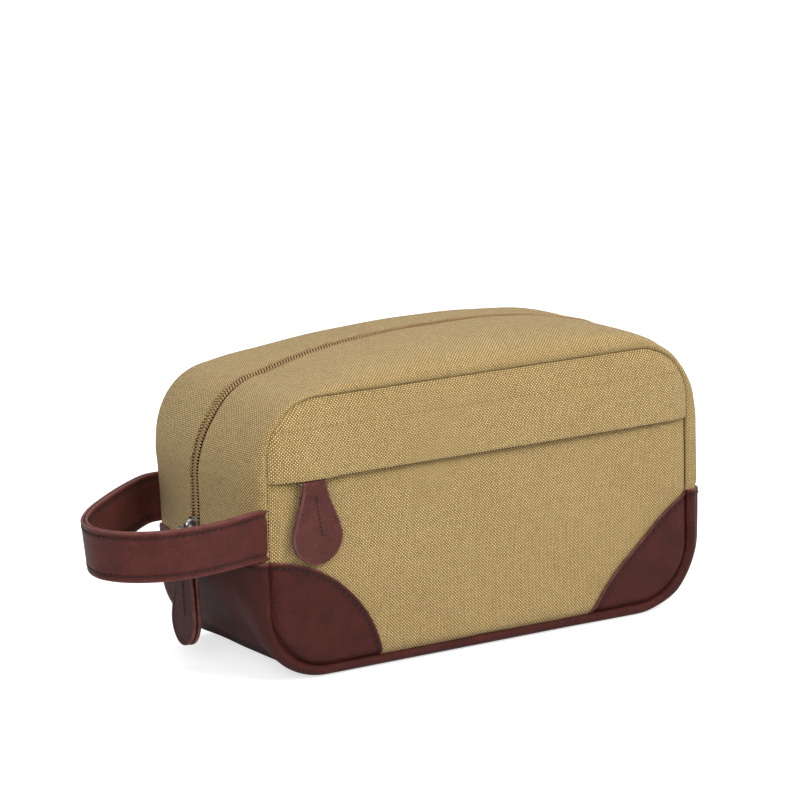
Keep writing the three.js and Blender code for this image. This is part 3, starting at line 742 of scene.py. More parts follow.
pocketCrown = crowned(bag["bottomSeam"], bag["flapEdge"])
rearCrown = crowned(bag["bottomSeam"], bag["topSeam"])

flapLook = {
    "atSeam": 0.0016,
    "lift": 0.0030,
    "overPull": 0.0016,
    "pullX": -0.1010,
    "pullReach": 0.019,
    "hem": 0.0015,
    "stitchZ": 0.1248,
    "stitchDip": 0.00025,
}


def flapBulge(x, z):
    share = (z - bag["flapEdge"]) / (bag["topSeam"] - bag["flapEdge"])
    up = np.cos(math.pi / 2 * np.clip(share, 0, 1))
    middle = 1 - np.minimum(1, np.abs(x) / bag["seamX"]) ** 10
    lift = (flapLook["atSeam"] + flapLook["lift"] * middle) * up
    besidePull = 1 - ramp(np.abs(x - flapLook["pullX"]), 0.005, flapLook["pullReach"])
    bump = flapLook["overPull"] * besidePull * (1 - ramp(share, 0.02, 0.55))
    slow = np.sin(x * 51 + 0.4) * np.sin(z * 70) + 0.4 * np.sin(x * 133 + z * 40)
    stitchLine = flapLook["stitchDip"] * bell(z - flapLook["stitchZ"], 0.0011)
    ripple = panelLook["ripple"] * slow * up
    return bag["panelFace"] + lift + bump - seamDip(x, z) + ripple - stitchLine


def makePanels():
    wide, cloth = 2 * bag["seamX"], panelLook["cloth"]
    bottom, top = bag["bottomSeam"], bag["topSeam"]
    inset, hemTop = bag["seamInset"], bag["flapEdge"] + panelLook["underFlap"]
    face, cut = panelGrid(bottom + inset, hemTop, -1, pocketCrown)
    front = laySheet("front_panel", face, cut, cloth, flip=True)
    nodes = ["front_panel_lower", "pocket_face"]
    fit(front, "canvas", "canvas", nodes, "base", "front_half", mouthReach(-1))
    face, cut = panelGrid(bag["flapEdge"], top - inset, -1, flapBulge, step=0.0025)
    cut = cut + [0.0004, 0.0003]  # so that its threads don't line up with the face's
    flap = laySheet("flap", face, cut, flapLook["hem"], rim=0.0006, flip=True)
    fit(flap, "canvas", "canvas", ["front_flap"], "front_half")
    face, cut = panelGrid(bottom + inset, top - inset, 1, rearCrown)
    rear = laySheet("back_panel", face, cut, cloth)
    nodes = ["rear_panel_lower", "rear_panel"]
    fit(rear, "canvas", "canvas", nodes, "base", "rear_half", mouthReach(1))


makePanels()
print("panels made")

gussetLook = {
    "cloth": 0.0012,
    "tuck": 0.004,
    "tuckDepth": 0.0009,
    "hem": 0.0036,
    "hemRoll": np.array([0.0011, 0.0006, 0.0002, 0.00005, 0]),
    "lastRow": 0.0052,
    "ripple": 0.00016,
}
tapeLook = {"reach": 0.012, "inner": 0.0009, "depth": 0.0015, "tape": 0.0006, "rim": 0.0003}
liningLook = {
    "depth": 0.0024,
    "baseDepth": 0.0045,
    "cloth": 0.0006,
    "rim": 0.0003,
    "edge": 0.006,
    "front": 0.0471,
    "rear": 0.0493,
    "inset": 0.0016,
}


# the canvas gusset tucks in behind the leather at its ends
def tuckedBulge(x, z):
    behind = 1 - ramp(z, bag["leatherTop"] - 0.0005, bag["leatherTop"] + 0.002)
    return upperBulge(x, z) - gussetLook["tuckDepth"] * behind


def makeGusset():
    start = bag["leatherTop"] - gussetLook["tuck"]
    outline = seamOutline(start, bag["topSeam"], bag["topCorner"])
    tapeLine = seamOutline(bag["leatherTop"] - 0.001, bag["topSeam"], bag["topCorner"])
    reach, hem = bag["seamReach"], gussetLook["hem"] + gussetLook["hemRoll"]
    near = reach - (reach - gussetLook["lastRow"]) * np.linspace(0, 1, 30) ** 1.7
    rows = np.concatenate([reach + rollLook["wrap"], near, hem])
    for name, side in (("front", -1), ("rear", 1)):
        moves = ("base", name + "_half", mouthReach(side))
        flip, liningRow = side > 0, liningLook[name]
        face, cut = stripFace(
            outline, tuckedBulge, upperSection, side * rows, 0, gussetLook["ripple"], rollLook["canvas"]
        )
        thickness = gussetLook["cloth"]
        strip = laySheet(name + "_side_canvas", face, cut, thickness, flip=flip, measured="sides")
        fit(strip, "canvas", "canvas", [name + "_gusset"], *moves)
        across = side * np.linspace(liningRow, liningLook["edge"], 16)
        face, cut = stripFace(tapeLine, upperBulge, upperSection, across, liningLook["depth"])
        thickness, rim = liningLook["cloth"], liningLook["rim"]
        cloth = laySheet(name + "_side_lining", face, cut, thickness, rim, flip=flip)
        fit(cloth, "lining", "lining", [name + "_gusset_lining"], *moves)
        across = side * np.linspace(tapeLook["reach"], tapeLook["inner"], 12)
        face, cut = stripFace(tapeLine, tuckedBulge, upperSection, across, tapeLook["depth"])
        tape = laySheet("zip_tape_" + name, face, cut, tapeLook["tape"], tapeLook["rim"], flip=flip)
        fit(tape, "tape", "zip_tape", ["main_tape_" + name], *moves)


makeGusset()

baseLook = {
    "leather": 0.0018,
    "rim": 0.0014,
    "grooves": [(0.0030, 0.00028, 0.0008), (0.0060, 0.00012, 0.0025)],  # stitched, then turned in
}


def makeBase():
    outline = seamOutline(bag["leatherTop"], bag["bottomSeam"], bag["bottomCorner"], step=0.0025)
    half = bag["seamReach"] * (1 - np.linspace(0, 1, 34) ** 1.8)
    half = np.concatenate([bag["seamReach"] + rollLook["wrap"], half])
    across = np.concatenate([-half, half[-2::-1]])
    face, cut = stripFace(outline, lowerBulge, lowerSection, across, 0, 0.0, rollLook["leather"])
    face[..., 2] = np.maximum(face[..., 2], 0)
    base = laySheet(
        "leather_base", face, cut, baseLook["leather"], baseLook["rim"], "ends", baseLook["grooves"],
        flip=True,
    )
    fit(base, "leather", "leather", ["base_gusset"])
    across = np.linspace(-liningLook["front"], liningLook["rear"], 30)
    face, cut = stripFace(outline, lowerBulge, lowerSection, across, liningLook["baseDepth"])
    cloth = laySheet("base_lining_cloth", face, cut, liningLook["cloth"], liningLook["rim"], flip=True)
    fit(cloth, "lining", "lining", ["base_lining"])


makeBase()


def makeLinings():
    inset = liningLook["inset"]
    low, high = bag["bottomSeam"] + inset, bag["topSeam"] - inset
    depths = (
        ("front_lining", -1, 0.0480, low, high, "front_half", ["front_lining_lower", "front_lining"]),
        ("pocket_wall", -1, 0.0489, 0.013, 0.118, "front_half", ["pocket_wall_lower", "pocket_wall"]),
        ("rear_lining", 1, 0.0502, low, high, "rear_half", ["rear_lining_lower", "rear_lining"]),
    )
    for name, side, depth, bottom, top, half, nodes in depths:
        face, cut = panelGrid(bottom, top, side, lambda x, z: depth + 0 * x, inset, 0.007)
        thickness, rim = liningLook["cloth"], liningLook["rim"]
        cloth = laySheet(name + "_cloth", face, cut, thickness, rim, flip=side < 0)
        fit(cloth, "lining", "lining", nodes, "base", half, mouthReach(side))


makeLinings()
print("gusset, base and linings made")

stitchLook = {"length": 0.0022, "pitch": 0.0034, "radius": 0.00044, "sides": 6}


# short runs of thread along a line that lies on a surface, each end dipping into it
def stitchLine(points, normals, look=stitchLook):
    run = runOf(points)
    count = max(1, int(run[-1] / look["pitch"]))
    starts = (run[-1] - count * look["pitch"]) / 2 + np.arange(count) * look["pitch"]
    made, faces = [], []
    ring = np.arange(look["sides"]) * 2 * math.pi / look["sides"]
    profile = ((0, 0.35, -0.7), (0.2, 1, 0), (0.8, 1, 0), (1, 0.35, -0.7))  # share, girth, height
    for start in starts:
        at = start + np.array([p[0] for p in profile]) * look["length"]
        centre, up = sampled(points, run, at), unit(sampled(normals, run, at))
        along = centre[-1] - centre[0]
        beside = np.cross(along / np.linalg.norm(along), up)
        first = len(made) * look["sides"]
        for k, (share, thick, height) in enumerate(profile):
            middle = centre[k] + up[k] * height * look["radius"]
            spokes = np.cos(ring)[:, None] * beside[k] + np.sin(ring)[:, None] * up[k]
            made.append(middle + spokes * look["radius"] * thick)
        for k in range(len(profile) - 1):
            for j in range(look["sides"]):
                low, high = first + k * look["sides"], first + (k + 1) * look["sides"]
                following = (j + 1) % look["sides"]
                faces.append([low + j, low + following, high + following, high + j])
        last = first + (len(profile) - 1) * look["sides"]
        faces.append([first + j for j in reversed(range(look["sides"]))])
        faces.append([last + j for j in range(look["sides"])])
    return np.concatenate(made), faces


def stitchPiece(name, lines, look=stitchLook):
    points, faces, count = [], [], 0
    for line in lines:
        made, own = stitchLine(*line, look)
        points.append(made)
        faces += [[count + k for k in face] for face in own]
        count += len(made)
    piece = meshPiece(name, np.concatenate(points), faces)
    outward(piece)
    return piece


def onlyActive(piece):
    bpy.ops.object.select_all(action="DESELECT")
    piece.select_set(True)
    bpy.context.view_layer.objects.active = piece


def outward(piece):
    onlyActive(piece)
    bpy.ops.object.mode_set(mode="EDIT")
    bpy.ops.mesh.select_all(action="SELECT")
    bpy.ops.mesh.normals_make_consistent(inside=False)
    bpy.ops.object.mode_set(mode="OBJECT")


def applyAll(piece):
    onlyActive(piece)
    for modifier in list(piece.modifiers):
        bpy.ops.object.modifier_apply(modifier=modifier.name)


# a block with rounded edges, whose ends taper along an axis where it has a nose
def addBlock(name, centre, size, softness=0.0002, nose=None):
    bpy.ops.object.select_all(action="DESELECT")
    bpy.ops.mesh.primitive_cube_add(size=1, location=centre)
    piece = bpy.context.active_object
    piece.name = name
    piece.scale = size
    bpy.ops.object.transform_apply(location=True, rotation=True, scale=True)
    if nose:
        axis, share = nose
        for direction in (-1, 1):
            pickFaces(piece, lambda face: face.normal[axis] * direction > 0.9)
            reach = {"value": size[axis] * 0.16}
            bpy.ops.mesh.extrude_region_shrink_fatten(TRANSFORM_OT_shrink_fatten=reach)
            bpy.ops.transform.resize(value=share)
            bpy.ops.object.mode_set(mode="OBJECT")
    bevel = piece.modifiers.new("soft", "BEVEL")
    bevel.width = softness
    bevel.segments = 3
    bevel.limit_method = "ANGLE"
    applyAll(piece)
    return piece


def pickFaces(piece, wanted):
    onlyActive(piece)
    bpy.ops.object.mode_set(mode="EDIT")
    bpy.ops.mesh.select_mode(type="FACE")
    bpy.ops.mesh.select_all(action="DESELECT")
    bpy.ops.object.mode_set(mode="OBJECT")
    for face in piece.data.polygons:
        face.select = bool(wanted(face))
    bpy.ops.object.mode_set(mode="EDIT")


def joinAll(name, pieces):
    bpy.ops.object.select_all(action="DESELECT")
    for piece in pieces:
        piece.select_set(True)
    bpy.context.view_layer.objects.active = pieces[0]
    if len(pieces) > 1:
        bpy.ops.object.join()
    whole = bpy.context.active_object
    whole.name = name
    whole.data.name = name
    bpy.ops.object.transform_apply(location=True, rotation=True, scale=True)
    bpy.ops.object.shade_smooth_by_angle(angle=math.radians(40))
    return whole


# round wire along a closed or open path
def addWire(name, points, radius, closed=False):
    curve = bpy.data.curves.new(name, "CURVE")
    curve.dimensions = "3D"
    curve.bevel_depth = radius
    curve.bevel_resolution = 4
    curve.use_fill_caps = True
    line = curve.splines.new("POLY")
    line.points.add(len(points) - 1)
    for point, place in zip(line.points, points):
        point.co = (*place, 1)
    line.use_cyclic_u = closed
    onlyActive(newObject(name, curve))
    bpy.ops.object.convert(target="MESH")
    return bpy.context.active_object


# a rectangle with round corners, as a list of (across, up)
def roundedFrame(halfWide, low, high, corner, steps=5):
    points = []
    wide, top, bottom = halfWide - corner, high - corner, low + corner
    for across, up, first in ((wide, top, 0), (-wide, top, 90), (-wide, bottom, 180), (wide, bottom, 270)):
        for k in range(steps + 1):
            angle = math.radians(first + 90 * k / steps)
            points.append((across + corner * math.cos(angle), up + corner * math.sin(angle)))
    return points


patchLook = {
    "length": 0.063,
    "leather": 0.0016,
    "rim": 0.0011,
    "lift": 0.0002,
    "dip": 0.0014,
    "ease": {"left": 0.003, "right": 0.012},
    "bead": 0.0005,
    "stitchIn": 0.0030,
    "thread": 0.0005,
}


def makePatches():
    height = bag["leatherTop"] - bag["bottomSeam"]
    corner = bag["bottomCorner"]
    inset, proud = bag["seamInset"], patchLook["lift"] + patchLook["leather"]
    for wall, side, crown in (("front", -1, pocketCrown), ("rear", 1, rearCrown)):
        for end, endSide in (("left", -1), ("right", 1)):
            turn = spread(0, math.pi / 2, math.radians(2.2), rim=math.radians(1.6))[:, None]
            share = spread(0, 1, 0.06, rim=0.03)[None, :]
            s, c = np.sin(turn), np.cos(turn)
            seam = corner * (s + c - np.sqrt(np.clip((s + c) ** 2 - 1, 0, None))) + inset
            turned = turn / (math.pi / 2)
            ease = patchLook["ease"][end] * np.sin(2 * turn)
            edge = height + (patchLook["length"] - height) * turned - ease
            radius = seam + (edge - seam) * share
            x = endSide * (bag["seamX"] - np.maximum(radius * s, inset))
            z = bag["bottomSeam"] + np.maximum(radius * c, inset)
            dip = patchLook["dip"] * (1 - ramp(seamDistance(x, z), 0, 0.006)) ** 1.6
            grid = np.stack([x, side * (crown(x, z) + proud - dip), z], axis=-1)
            fromEdge = np.linalg.norm(np.diff(grid, axis=1), axis=2)[:, ::-1].cumsum(axis=1)[:, ::-1]
            fromEdge = np.concatenate([fromEdge, np.zeros((len(grid), 1))], axis=1)
            relief = bell(fromEdge - 0.0009, 0.0008) - bell(fromEdge - patchLook["stitchIn"], 0.0008)
            grid[..., 1] += side * patchLook["bead"] * relief
            cut = np.stack([x, z], axis=-1)
            name = "corner_" + wall + "_" + end
            flip = side * endSide < 0
            piece = laySheet(name, grid, cut, patchLook["leather"], patchLook["rim"], flip=flip)
            fit(piece, "leather", "leather", ["patch_" + wall + "_" + end])
            inward = edge - patchLook["stitchIn"]
            lineX = endSide * (bag["seamX"] - inward * s)[2:-2, 0]
            lineZ = (bag["bottomSeam"] + inward * c)[2:-2, 0]
            lineY = crown(lineX, lineZ) + proud - 0.0003  # sunk a little into the leather
            points = np.stack([lineX, side * lineY, lineZ], axis=-1)
            points = points[(lineX * endSide < bag["seamX"] - 0.002) & (lineZ > bag["bottomSeam"] + 0.002)]
            normals = np.tile([0.0, side, 0], (len(points), 1))
            look = {**stitchLook, "radius": patchLook["thread"]}
            fit(stitchPiece("stitch_" + name, [(points, normals)], look), "darkThreadWithShade", "leather")


makePatches()
print("corner patches made")

loopLook = {
    "leather": 0.0017,
    "rim": 0.0010,
    "gap": 0.0002,
    "lean": 0.0024,
    "sag": 0.0008,
    "wide": 0.025,
    "rise": 0.001,
    "halfDepth": 0.052,
    "sewnTo": 0.035,  # the loop is free from here on
    "bend": (0.004, 0.028),
    "stitchIn": 0.0031,
    "groove": (0.00045, 0.0008),
    "thread": 0.00036,
    "route": [  # reach past the end seam, and share of the half depth
        (-0.0008, -1.030), (0.0075, -1.045), (0.016, -1.095), (0.033, -1.16), (0.050, -1.16),
        (0.064, -1.075), (0.075, -0.91), (0.081, -0.69), (0.0815, -0.48), (0.0775, -0.23),
        (0.0655, 0.1), (0.0485, 0.43), (0.028, 0.77), (0.008, 1.045), (-0.0008, 1.055),
    ],
}


# a smooth curve through the points, in even steps
def smoothRoute(points, step=0.0025):
    points = np.asarray(points, float)
    chord = np.concatenate([[0], np.cumsum(np.linalg.norm(np.diff(points, axis=0), axis=1) ** 0.5)])
    padded = np.vstack([2 * points[0] - points[1], points, 2 * points[-1] - points[-2]])
    knots = np.concatenate([[-chord[1]], chord, [2 * chord[-1] - chord[-2]]])
    fine = []
    for k in range(1, len(padded) - 2):
        t0, t1, t2, t3 = knots[k - 1:k + 3]
        p0, p1, p2, p3 = padded[k - 1:k + 3]
        t = np.linspace(t1, t2, 16, endpoint=False)[:, None]
        a1 = (t1 - t) / (t1 - t0) * p0 + (t - t0) / (t1 - t0) * p1
        a2 = (t2 - t) / (t2 - t1) * p1 + (t - t1) / (t2 - t1) * p2
        a3 = (t3 - t) / (t3 - t2) * p2 + (t - t2) / (t3 - t2) * p3
        b1 = (t2 - t) / (t2 - t0) * a1 + (t - t0) / (t2 - t0) * a2
        b2 = (t3 - t) / (t3 - t1) * a2 + (t - t1) / (t3 - t1) * a3
        fine.append((t2 - t) / (t2 - t1) * b1 + (t - t1) / (t2 - t1) * b2)
    fine = np.vstack([*fine, points[-1:]])
    run = runOf(fine)
    at = np.linspace(0, run[-1], round(run[-1] / step) + 1)
    return sampled(fine, run, at), at


def makeLoop():
    seam, wide, leather = -bag["seamX"], loopLook["wide"], loopLook["leather"]
    route = [(seam - reach, share * loopLook["halfDepth"]) for reach, share in loopLook["route"]]
    plan, run = smoothRoute(route)
    along = unit(np.gradient(plan, axis=0))
    out = np.stack([-along[:, 1], along[:, 0], 0 * run], axis=1)
    up = spread(0, wide, 0.0006, rim=0.0009)
    low = bag["leatherTop"] + loopLook["rise"]
    free = ramp(run, 0, loopLook["sewnTo"]) * ramp(run[-1] - run, 0, loopLook["sewnTo"])
    reach = [(seam - past, 0, low) for past in loopLook["bend"]]
    groove = (loopLook["stitchIn"], *loopLook["groove"])
    for name, depth in (("outer", 0.0), ("inner", leather + loopLook["gap"])):
        offset = loopLook["lean"] * (up / wide - 0.5)[None, :] * free[:, None] - depth
        x = plan[:, 0:1] + out[:, 0:1] * offset
        y = plan[:, 1:2] + out[:, 1:2] * offset
        sag = loopLook["sag"] * np.sin(run / run[-1] * math.pi)
        z = low + up[None, :] - sag[:, None] + 0 * x
        face = np.stack([x, y, z], axis=-1)
        shift = depth * 40  # so that the two layers don't show the same grain
        cut = np.stack([run[:, None] + 0 * x, up[None, :] + 0 * x + shift], axis=-1)
        piece = laySheet(
            "loop_" + name, face, cut, leather, loopLook["rim"], "sides", [groove], name == "inner", True
        )
        fit(piece, "loop", "leather", ["handle_" + name], "base", "handle", reach)
        facing, sunk = (1, 0.00012) if name == "outer" else (-1, leather - 0.00005)
        lines = []
        for at in (loopLook["stitchIn"], wide - loopLook["stitchIn"]):
            row = int(np.argmin(np.abs(up - at)))
            points = face[:, row] - out * sunk
            lines.append((points[2:-2], out[2:-2] * facing))
        look = {**stitchLook, "radius": loopLook["thread"]}
        stitches = stitchPiece("stitch_loop_" + name, lines, look)
        fit(stitches, "darkThreadWithShade", "leather", (), "base", "handle", reach)


makeLoop()
print("carrying loop made")

coilLook = {
    "pitch": 0.0016,
    "radius": 0.0011,
    "high": 0.0006,
    "wire": 0.00041,
    "spread": 0.0014,
    "depth": 0.0004,
    "turnSteps": 6,
    "sides": 4,
    "start": 0.0032,  # height of its lower ends above the leather
}


# a helix of nylon round a line, low in faces because it has hundreds of turns
def coilPiece(name, centre, out, side, start=0):
    sides, turnSteps = coilLook["sides"], coilLook["turnSteps"]
    run = runOf(centre)
    count = int(run[-1] / coilLook["pitch"]) * turnSteps
    at = np.linspace(0, run[-1], count + 1)
    middle, up, beside = (sampled(values, run, at) for values in (centre, out, side))
    angle = (start + np.arange(count + 1) * 2 * math.pi / turnSteps)[:, None]
    radial = np.cos(angle) * beside * coilLook["radius"] + np.sin(angle) * up * coilLook["high"]
    line = middle + radial
    radial = unit(radial)[:, None]
    across = np.cross(unit(np.gradient(line, axis=0)), radial[:, 0])[:, None]
    ring = ((np.arange(sides) + 0.5) * 2 * math.pi / sides)[None, :, None]
    spokes = np.cos(ring) * radial + np.sin(ring) * across
    points = (line[:, None] + spokes * coilLook["wire"]).reshape(-1, 3)
    k = np.arange(count)[:, None] * sides
    j = np.arange(sides)[None, :]
    following = (j + 1) % sides
    faces = np.stack([k + j, k + following, k + sides + following, k + sides + j], axis=-1)
    faces = faces.reshape(-1, 4)
    caps = [list(range(sides))[::-1], [count * sides + q for q in range(sides)]]
    piece = meshPiece(name, points, faces.tolist() + caps)
    outward(piece)
    return piece


# an end stop that fills most of its node's box
def addStop(name, node, share, nose=None):
    low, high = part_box(node)
    return joinAll(name, [addBlock(name, (low + high) / 2, (high - low) * share, 0.0004, nose)])


def makeMainCoils():
    start = bag["leatherTop"] + coilLook["start"]
    outline = seamOutline(start, bag["topSeam"], bag["topCorner"], step=0.002)
    x, z = outline["x"], outline["z"]
    for name, side in (("front", -1), ("rear", 1)):
        out = np.stack([outline["outX"], 0 * x, outline["outZ"]], axis=1)
        centre = np.stack([x, side * coilLook["spread"] + 0 * x, z], axis=1)
        centre = centre + out * (upperBulge(x, z) - coilLook["depth"])[:, None]
        across = np.tile([0, side, 0], (len(x), 1)).astype(float)
        # the rear row starts half a turn on, so that the two rows mesh
        moves = ("base", name + "_half", mouthReach(side))
        coil = coilPiece("zip_coil_" + name, centre, out, across, start=0 if side < 0 else math.pi)
        fit(coil, "coil", "zip_coil", ["main_coil_" + name], *moves)
        stop = addStop("zip_stop_" + name, "main_stop_" + name, 0.96)
        fit(stop, "nickel", "nickel", ["main_stop_" + name], *moves)


def makePocketZip():
    for place, side in (("lower", -1), ("upper", 1)):
        low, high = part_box("pocket_tape_" + place)
        x, z = np.meshgrid(
            spread(low.x, high.x, 0.006), spread(low.z, high.z, 0.0015, rim=0.0006), indexing="ij"
        )
        grid, cut = np.stack([x, low.y + 0 * x, z], axis=-1), np.stack([x, z], axis=-1)
        tape = laySheet("pocket_zip_tape_" + place, grid, cut, tapeLook["tape"], tapeLook["rim"])
        fit(tape, "tape", "zip_tape", ["pocket_tape_" + place], "front_half")
        low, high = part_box("pocket_coil_" + place)
        along = np.linspace(low.x, high.x, 150)
        still = np.ones(150)
        centre = np.stack([along, still * (low.y + high.y) / 2, still * (low.z + high.z) / 2], axis=1)
        out, across = (np.outer(still, way) for way in ((0, -1, 0), (0, 0, side)))
        coil = coilPiece("pocket_zip_coil_" + place, centre, out, across)
        fit(coil, "coil", "zip_coil", ["pocket_coil_" + place], "front_half")
    for end in ("left", "right"):
        node = "pocket_stop_" + end
        stop = addStop("pocket_zip_stop_" + end, node, 0.98, nose=(0, (0.6, 0.85, 0.7)))
        fit(stop, "nickel", "nickel", [node], "front_half")


makeMainCoils()
makePocketZip()
print("zips made")

sliderLook = {
    "long": 0.0105,
    "wide": 0.0080,
    "plate": 0.0008,
    "plateShare": 0.72,
    "nose": (0, (0.8, 0.62, 0.8)),
    "frontAt": 0.0017,
    "backAt": 0.0029,
    "post": 0.0011,
    "archLong": 0.0034,
    "archRise": 0.0042,
    "archWire": 0.0008,
    "flange": 0.0012,
}


# a slider about the origin, with +X along the zip and +Z outward
def sliderBody(arch):
    look = sliderLook
    plateSize = (look["long"] * look["plateShare"], look["wide"], look["plate"])
    pieces = [
        addBlock("plate", (0, 0, at), plateSize, 0.0003, look["nose"])
        for at in (look["frontAt"], -look["backAt"])
    ]
    postSize = (0.0018, look["post"], look["frontAt"] + look["backAt"])
    pieces.append(addBlock("post", (-0.0034, 0, -0.0004), postSize))
    for side in (-1, 1):
        place = (0, side * (look["wide"] / 2 - 0.0004), look["frontAt"] - 0.0006)
        pieces.append(addBlock("flange", place, (look["long"] * 0.6, 0.0007, look["flange"]), 0.00025))
    if arch:
        turn = [math.pi * k / 16 for k in range(17)]
        along = [look["archLong"] * math.cos(angle) for angle in turn]
        height = [look["frontAt"] + look["archRise"] * math.sin(angle) ** 0.8 for angle in turn]
        for y in (-0.0006, 0.0, 0.0006):
            line = [(x, y, z) for x, z in zip(along, height)]
            pieces.append(addWire("arch", line, look["archWire"]))
    return joinAll("slider", pieces)


def makeMainSlider():
    low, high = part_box("main_slider")
    body = sliderBody(True)
    body.name = "main_zip_slider"
    middle = Vector((high.x - 0.0030, 0, (low.z + high.z) / 2))
    turned = Matrix(((0, 0, -1), (0, 1, 0), (1, 0, 0))).to_4x4()
    body.data.transform(Matrix.Translation(middle) @ turned)
    fit(body, "nickel", "nickel", ["main_slider"], "main_slider")
    low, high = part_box("main_pull_loop")
    radius = (high.x - low.x) / 2
    path = roundedFrame(high.y - radius, low.z + radius, high.z - radius, 0.0022)
    x = (low.x + high.x) / 2
    loop = addWire("main_wire_loop", [(x, a, b) for a, b in path], radius, closed=True)
    loop = joinAll("main_wire_loop", [loop])
    fit(loop, "nickel", "nickel", ["main_pull_loop"], "main_pull_loop")


makeMainSlider()

pullLook = {
    "main": {
        "length": 0.0510,
        "leather": 0.0017,
        "wire": 0.0007,
        "room": 0.0005,
        "closed": 0.0007,
        "neck": 0.0065,
        "belly": 0.0133,
        "hang": (-4.0, -2.6, 0.0),  # degrees turned, tilted and swung
        "stitch": (0.0220, 0.0360),
        "finish": "leather",
    },
    "pocket": {
        "length": 0.0402,
        "leather": 0.0012,
        "wire": 0.0004,
        "room": 0.0001,
        "closed": 0.0004,
        "neck": 0.0064,
        "belly": 0.0140,
        "hang": (0.0, 0.0, 2.6),
        "stitch": (0.0088, 0.0268),
        "finish": "pull",
    },
}
pocketWire = {"y": -0.0569, "drop": 0.0017, "behind": -0.0542}  # the pull's wire, under the flap


# a strip folded over a wire: wire along Y through the origin, +X outward, -Z down
def pullGrid(look):
    bend = look["wire"] + look["room"] + look["leather"] / 2
    closed = look["closed"] / 2 + look["leather"] / 2
    belly = look["length"] - look["belly"]
    lowerEnd = np.radians([8, 16, 24, 32, 40, 48, 56, 63, 70, 76, 81, 85, 88, 89.5])
    drops = np.concatenate([np.linspace(0, belly, 22), belly + look["belly"] * np.sin(lowerEnd)])
    squeeze = bend + (closed - bend) * ramp(drops, 0, look["length"] * 0.55)
    turn = np.radians(np.arange(12, 180, 12))
    x = np.concatenate([squeeze[::-1], bend * np.cos(turn), -squeeze])
    z = np.concatenate([-drops[::-1], bend * np.sin(turn), -drops])
    drop = np.concatenate([drops[::-1], 0 * turn, drops])
    widening = 0.35 * np.clip(drop / belly, 0, 1) + 0.65 * ramp(drop, belly * 0.04, belly * 1.05)
    taper = look["neck"] + (look["belly"] - look["neck"]) * widening
    rounded = np.sqrt(np.clip(look["belly"] ** 2 - (drop - belly) ** 2, 0.0003 ** 2, None))
    half = np.where(drop > belly, rounded, taper)
    middle = np.stack([x, z], axis=1)
    along = unit(np.gradient(middle, axis=0))
    out = np.stack([-along[:, 1], along[:, 0]], axis=1) * np.sign(-along[0, 1])
    outer = middle + out * look["leather"] / 2
    y = half[:, None] * spread(-1, 1, 0.08, rim=0.1)[None, :]
    face = np.stack([outer[:, 0:1] + 0 * y, y, outer[:, 1:2] + 0 * y], axis=-1)
    return face, np.stack([runOf(middle)[:, None] + 0 * y, y], axis=-1)


# a pull with the seam and the small crossed tack that close its fold
def makePull(key, place, facing):
    look, name, body = pullLook[key], key + "_zip_pull", key + "_pull"
    face, cut = pullGrid(look)
    raised = [(0.0012, -0.00018, 0.0009)]
    piece = laySheet(name, face, cut, look["leather"], 0.0008, "all", raised, flip=True)
    turn, tilt, swing = (math.radians(degrees) for degrees in look["hang"])
    pose = Matrix.Translation(place)
    for angle, axis in ((facing + turn, "Z"), (tilt, "Y"), (swing, "X")):
        pose = pose @ Matrix.Rotation(angle, 4, axis)
    first, last = look["stitch"]
    front = look["closed"] / 2 + look["leather"] + 0.00005
    seam = np.linspace((front, 0.0003, -first), (front, 0.0022, -last), 12)
    normals = np.tile([1.0, 0, 0], (12, 1))
    tack = np.array([[0, 0, 1.9], [0, -1.1, 0.3], [0, 0.2, -1.3], [0, 1.2, 0.4], [0, 0, 1.9]]) * 0.001
    tack = tack + np.array([front + 0.0001, 0.0001, -first + 0.0012])
    lines = [(seam, normals)] + [(tack[k:k + 2], normals[:2]) for k in range(4)]
    small = {**stitchLook, "length": 0.0017, "pitch": 0.0020, "radius": 0.00046}
    stitches = stitchPiece("stitch_" + name, lines, small)
    stitches.data.transform(pose)
    fit(stitches, "darkThreadWithShade", "leather", (), body)
    piece.data.transform(pose)
    fit(piece, look["finish"], "leather", [body], body)


def makePulls():
    low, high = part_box("main_pull_loop")
    makePull("main", Vector(((low.x + high.x) / 2, 0, low.z + pullLook["main"]["wire"])), math.pi)
    place = Vector((flapLook["pullX"], pocketWire["y"], bag["flapEdge"] - pocketWire["drop"]))
    makePull("pocket", place, -math.pi / 2)


makePulls()


def makePocketSlider():
    coilLow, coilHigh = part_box("pocket_coil_lower")
    middle = Vector((flapLook["pullX"], (coilLow.y + coilHigh.y) / 2, bag["flapEdge"] + 0.006))
    body = sliderBody(False)
    body.data.transform(Matrix.Translation(middle) @ Matrix.Rotation(math.pi / 2, 4, "X"))
    low = bag["flapEdge"] - pocketWire["drop"]
    inward = pocketWire["behind"] - pocketWire["y"]
    line = []
    for across, up in roundedFrame(0.0072, low, middle.z - 0.002, 0.0012):
        y = pocketWire["y"] + inward * float(ramp(up, low + 0.0003, low + 0.0016))
        line.append((middle.x + across, y, up))
    bail = addWire("bail", line, pullLook["pocket"]["wire"], closed=True)
    whole = joinAll("pocket_zip_slider", [body, bail])
    fit(whole, "nickel", "nickel", ["pocket_slider"], "pocket_slider")


makePocketSlider()
print("sliders and pulls made")


